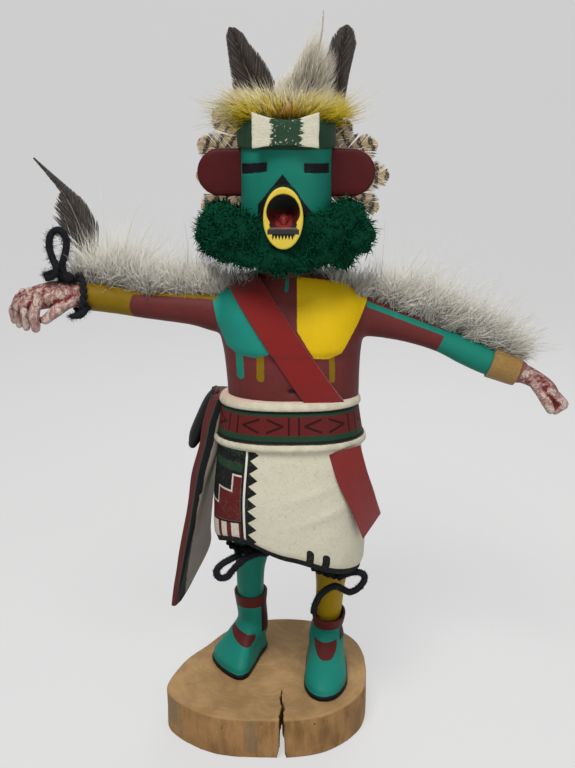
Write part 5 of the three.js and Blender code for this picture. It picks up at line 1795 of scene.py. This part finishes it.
def fan_pieces(dice):
    """Each ray is a broad vane round a straight shaft, and dark bars cross all of them in rings
    about the fan's middle."""

    def bars(finish, along):
        x, _, z = finish.place()
        radius = distance(x - FAN_MIDDLE[0], z - FAN_MIDDLE[1])
        radius = radius + (finish.noise(2.2, 3.0) - 0.5) * 3.0
        t = (radius + 1.2) % 4.7 - 2.35
        dark = (0.95 - abs(t)).over(0.5) * (radius - 25).over(3) * (along - 0.03).over(0.05)
        finish.coat(dark * 0.94, lit(50, 36, 26))
        finish.coat((24 - radius).over(6) * 0.6, lit(150, 134, 110))

    colors = lit(206, 184, 148), lit(214, 202, 176), lit(176, 150, 116)
    finish = feather_finish("barred_feather", *colors, bars)
    half = FAN_HALF_WIDTH
    for i, (length, angle) in enumerate(zip(FAN_LENGTHS, FAN_ANGLES)):
        edge = np.array([
            [2, 0.7], [15, 3.0], [24, half * 0.85], [length - 11, half], [length - 5, half * 0.92],
            [length - 1.6, half * 0.62], [length, half * 0.2],
        ])
        turn = np.array([[np.cos(angle), np.sin(angle)], [-np.sin(angle), np.cos(angle)]])
        outline = np.concatenate([edge * [1, -1], edge[::-1]]) @ turn + FAN_MIDDLE
        spine = np.array([[2.0, 0], [20, 0.3], [32, 0.2], [length - 0.4, 0]]) @ turn + FAN_MIDDLE
        layer = FAN_Y + FAN_LAYER * (i % 3)
        parts = vane(outline, spine, layer, 84, 34, 0.27, (0.12, 0.12), 0.08, dice, cup=0.4)
        build(f"fan_ray_{i + 1}", parts, finish, [f"fan_feather_{i + 1}"])


def plume(path, count, reach, spread, taper, dice):
    """Down: soft barbs leave a curved quill all round, lean forward, and curl at their ends. They
    shorten towards the quill's tip by taper."""
    line = through(path, 80)
    slope = unit(np.gradient(line, axis=0))
    t = dice.random(count) ** 0.85
    k = (t * 79).astype(int)
    along = slope[k]
    away = random_directions(dice, count)
    away = unit(away - along * np.sum(away * along, 1, keepdims=True))
    tilt = np.radians(spread) * dice.uniform(0.35, 1.2, count)[:, None]
    aims = unit(along * np.cos(tilt) + away * np.sin(tilt))
    bends = 0.35 * random_directions(dice, count)
    lengths = reach * dice.uniform(0.3, 1.0, count) ** 0.6 * (1 - taper * t)
    return hairs(line[k], aims, lengths, bends, 0.12, HAIR, dice)


def wisps(rows):
    """Single long barbs. A row is a barb's root, aim, length and bend."""
    roots, aims, lengths, bends = (np.array(part, float) for part in zip(*rows))
    count = len(rows)
    widths, chance = np.full(count, 0.14), np.zeros(count)
    return strands(roots, unit(aims), lengths, bends, widths, HAIR, chance)


def down_finish(name, color, shade):
    finish = Finish(name, color, Specular_IOR_Level=0.15)
    along, chance = finish.mark("along"), finish.mark("chance")
    # Painted shade: each strand darkens towards its root, deep in the down.
    finish.coat((1 - along) * 0.3, shade)
    finish.coat(chance * 0.35, shade)
    return finish.done(0.9, 0.06, tone=0.1, size=4)


ARM_DOWN = {
    # x, height of the roots and of the mass's top, and its lean towards +x in degrees
    "right": [
        [-90, 211, 224, 4], [-85, 210, 230, 8], [-80, 209, 234, 10], [-73, 208, 233, 14],
        [-66, 206, 230, 14], [-61, 205, 224, 8], [-54, 204, 220, 0], [-46, 205, 224.5, -4],
        [-39, 205, 220.5, 0], [-30, 205, 218, 0], [-14, 207, 217, 0],
    ],
    "left": [
        [14, 208, 219, 0], [26, 206, 218, 10], [34, 203, 217.5, 20], [41, 201, 217, 26],
        [46, 199, 220.5, 22], [56, 195, 215.5, 30], [68, 190.5, 213, 34], [78, 186.5, 209.5, 36],
        [87, 182, 205, 38], [95, 179, 198, 44], [100, 177, 191, 50],
    ],
}
ARM_WISPS = {
    # root, aim, length and bend of each barb
    "right": [
        ([-78, 7, 222], [-0.1, 0, 1], 26, [0, 0, 0.1]),
        ([-70, 8, 226], [0.2, 0, 1], 20, [0.2, 0, 0]),
        ([-60, 6, 220], [0.9, 0, 0.5], 18, [0, 0, 0.5]),
        ([-50, 6, 214], [0.4, 0, 1], 15, [0.1, 0, 0.1]),
        ([-44, 6, 214], [0.2, 0, 1], 26, [-0.3, 0, 0.1]),
        ([-34, 6, 214], [0.1, 0, 1], 22, [-0.2, 0, 0]),
        ([-66, 7, 222], [0.5, 0, 0.8], 18, [0.2, 0, 0.4]),
        ([-84, 6, 214], [-1, -0.2, 0.5], 20, [0, 0, 0.2]),
        ([-88, 5, 214], [-1, -0.3, 0.25], 18, [0.1, 0, -0.1]),
        ([-84, 4, 216], [-1, -0.2, 0.1], 17, [0, 0, 0.15]),
        ([-86, 3, 218], [-1, -0.2, 0.35], 16, [0, 0, -0.1]),
        ([-40, 6, 214], [0.3, 0, 1], 30, [-0.55, 0, 0.1]),
    ],
    "left": [
        ([41, 6, 208], [0.05, 0, 1], 34, [0, 0, 0.1]),
        ([52, 6, 212], [0.6, 0, 1], 22, [0.1, 0, 0.1]),
        ([56, 6, 212], [0.8, 0, 1], 25, [0.15, 0, 0]),
        ([60, 6, 208], [1, 0, 0.8], 22, [0.2, 0, 0]),
        ([66, 6, 206], [1, 0, 0.7], 24, [0.1, 0, 0.05]),
        ([72, 6, 202], [1, 0, 0.7], 20, [0.3, 0, -0.2]),
        ([78, 6, 200], [1, 0, 0.6], 18, [0.1, 0, 0.2]),
        ([84, 6, 196], [1, 0, 0.5], 17, [0.1, 0, -0.2]),
        ([92, 6, 190], [1, 0, 0.3], 16, [0, 0, 0.2]),
        ([96, 6, 186], [1, 0, -0.1], 14, [0, 0, 0.2]),
        ([62, 6, 210], [0.6, 0, 1], 26, [0.2, 0, 0]),
        ([30, 6, 212], [-0.2, 0, 1], 14, [0, 0, 0]),
    ],
}


def arm_down_pieces(dice):
    """Tufts of down stand side by side along the top of an arm, each spreading from its own root
    with its own lean and height, and a few single barbs reach out beyond them."""
    white = down_finish("white_down", lit(214, 211, 202), lit(164, 157, 144))
    tufts, each = 78, 108
    for word, rows in ARM_DOWN.items():
        x, foot, top, lean = np.array(rows).T
        spot = np.linspace(x[0], x[-1], tufts) + dice.normal(size=tufts)
        low = np.interp(spot, x, foot)
        turn = np.radians(np.interp(spot, x, lean) + 15 * dice.normal(size=tufts))
        aim = np.stack([np.sin(turn), 0.25 * dice.normal(size=tufts), np.cos(turn)], -1)
        tall = (np.interp(spot, x, top) - low + 2) * dice.uniform(0.6, 1.1, tufts)
        root = np.stack([spot, dice.uniform(-3, 5, tufts), low - 0.5], -1)
        root, aim, tall = (np.repeat(part, each, 0) for part in (root, aim, tall))
        count = tufts * each
        root = root + dice.normal(size=(count, 3)) * [1.5, 1.5, 1.2]
        aim = unit(aim + 0.5 * random_directions(dice, count))
        bends = 0.5 * random_directions(dice, count)
        lengths = tall * dice.uniform(0.3, 1.0, count)
        parts = [hairs(root, aim, lengths, bends, 0.17, LOCK, dice), wisps(ARM_WISPS[word])]
        solids = [f"arm_down_{word}_1", f"arm_down_{word}_2"]
        build("down_on_the_" + word + "_arm", parts, white, solids)


def yellow_down_finish():
    """Yellow, warmer in the middle and paler above and far out, each strand a little off, and darker
    towards the roots as painted shade.
    """
    gold = Finish("yellow_down", lit(194, 172, 40), Specular_IOR_Level=0.15)
    x, _, z = gold.place()
    along, odd = gold.mark("along"), gold.mark("chance") - 0.5
    warm = x.near(0, 7) - (z - 281).high(0) * 1.2
    gold.coat((warm + odd * 6).over(6) * 0.6, lit(186, 116, 34))
    gold.coat((z - 285.5 - abs(x) * 0.06 + odd * 9).over(6) * 0.85, lit(206, 200, 184))
    gold.coat((abs(x - 3) - 27).over(8) * 0.7, lit(206, 200, 176))
    # Painted shade: each strand darkens towards its root, deep in the down.
    gold.coat((1 - along) * 0.35, lit(138, 116, 34))
    return gold.done(0.9, 0.06, tone=0.1, size=4)


def yellow_down_piece(dice):
    """Short strands stand out of a low dome over the crown, five clouds spread from it to the
    sides and back, and a few long barbs reach out to the left."""
    count = 3600
    angle = np.radians(dice.uniform(-200, 160, count))
    out = np.stack([np.cos(angle), np.sin(angle), np.zeros(count)], -1)
    rise = dice.random(count)
    root = out * (18.7 * np.sqrt(1 - 0.75 * rise[:, None] ** 2)) + [*HEAD, 276.4]
    root[:, 2] += 7.0 * rise
    sideways = np.stack([out[:, 0] * 0.9, out[:, 1] * 0.15, np.ones(count)], -1)
    aims = unit(sideways + 0.3 * dice.normal(size=(count, 3)))
    bends = 0.3 * out + 0.25 * random_directions(dice, count)
    lengths = dice.uniform(5.5, 10.5, count)
    parts = [hairs(root, aims, lengths, bends, 0.16, LOCK, dice)]
    for middle, aim_x, aim_z, spread, low, high, count in (
        ((-12, -4, 280), -1.0, 0.28, 0.30, 9, 20, 900),
        ((-10, 4, 281), -1.0, 0.6, 0.34, 8, 17, 500),
        ((12, -4, 280), 1.0, 0.30, 0.30, 5, 10, 460),
        ((9, 2, 281), 0.8, 0.75, 0.34, 6, 12, 420),
        ((0, 4, 282), 0.0, 1.0, 0.6, 6, 13, 700),
    ):
        root = middle + dice.normal(size=(count, 3)) * [4.0, 4.0, 1.6]
        aims = unit(np.array([aim_x, -0.12, aim_z]) + spread * dice.normal(size=(count, 3)))
        bends = 0.25 * random_directions(dice, count) + [0, 0, -0.1]
        lengths = dice.uniform(low, high, count)
        parts.append(hairs(root, aims, lengths, bends, 0.15, LOCK, dice))
    count = 60
    root = [15, 1, 277] + dice.normal(size=(count, 3)) * [2.5, 2.0, 2.2]
    aims = unit(np.array([1, -0.2, 0.34]) + 0.2 * dice.normal(size=(count, 3)))
    lengths = dice.uniform(10, 25, count)
    bends = [0, 0, 0.12] + 0.12 * random_directions(dice, count)
    parts.append(hairs(root, aims, lengths, bends, 0.13, HAIR, dice))
    parts.append(wisps([
        ([18, 4, 276], [1, 0, 0.42], 25, [0, 0, 0.05]),
        ([19, 4, 278], [1, 0, 0.50], 24, [0, 0, 0.08]),
        ([20, 4, 276], [1, 0, 0.36], 18, [0, 0, 0.2]),
        ([17, 4, 280], [1, 0, 0.62], 18, [0, 0, 0.1]),
        ([18, 5, 277], [1, 0, 0.46], 20, [0, 0, 0]),
        ([21, 4, 278], [1, 0, 0.2], 16, [0, 0, 0.1]),
    ]))
    build("yellow_crown_down", parts, yellow_down_finish(), ["crown_fluff"])


PLUME_ROOF = [
    # x and height of the mass's top
    [-6, 293], [-1, 298], [4, 304], [8, 310], [11, 315], [13.5, 318], [16, 313], [21.5, 304],
]


def plume_piece(dice):
    """White down on the crown: each strand runs from a root low in the middle to a tip somewhere
    under a roof that peaks to the left, and a small plume stands on its top."""
    white = down_finish("crown_white_down", lit(206, 199, 184), lit(150, 140, 122))
    count = 1900
    tip_x = -6 + 27.5 * dice.random(count)
    roof = np.interp(tip_x, *np.transpose(PLUME_ROOF))
    tip_z = 286 + (roof - 286) * dice.random(count) ** 0.6 + dice.normal(size=count)
    tips = np.stack([tip_x, 1.5 + dice.normal(size=count) * 2.6, tip_z], -1)
    middle = 4 + 0.42 * (tip_x - 4)
    low = 283 + 0.45 * (tip_z - 283) * dice.random(count)
    root_x = middle + 1.6 * dice.normal(size=count)
    roots = np.stack([root_x, 1.5 + dice.normal(size=count) * 1.5, low], -1)
    reach = tips - roots
    lengths = np.linalg.norm(reach, axis=1)
    bends = 0.42 * random_directions(dice, count)
    parts = [
        hairs(roots, unit(reach) - bends, lengths, bends, 0.13, LOCK, dice),
        plume([[12.4, 1.5, 303], [14.0, 2, 312], [14.6, 2, 320.6]], 170, 4.2, 24, 0.8, dice),
    ]
    build("white_crown_plume", parts, white, ["crown_plume"])


feather_dice = np.random.default_rng(23)
dark_feather_pieces(feather_dice)
fan_pieces(feather_dice)
arm_down_pieces(feather_dice)
yellow_down_piece(feather_dice)
plume_piece(feather_dice)
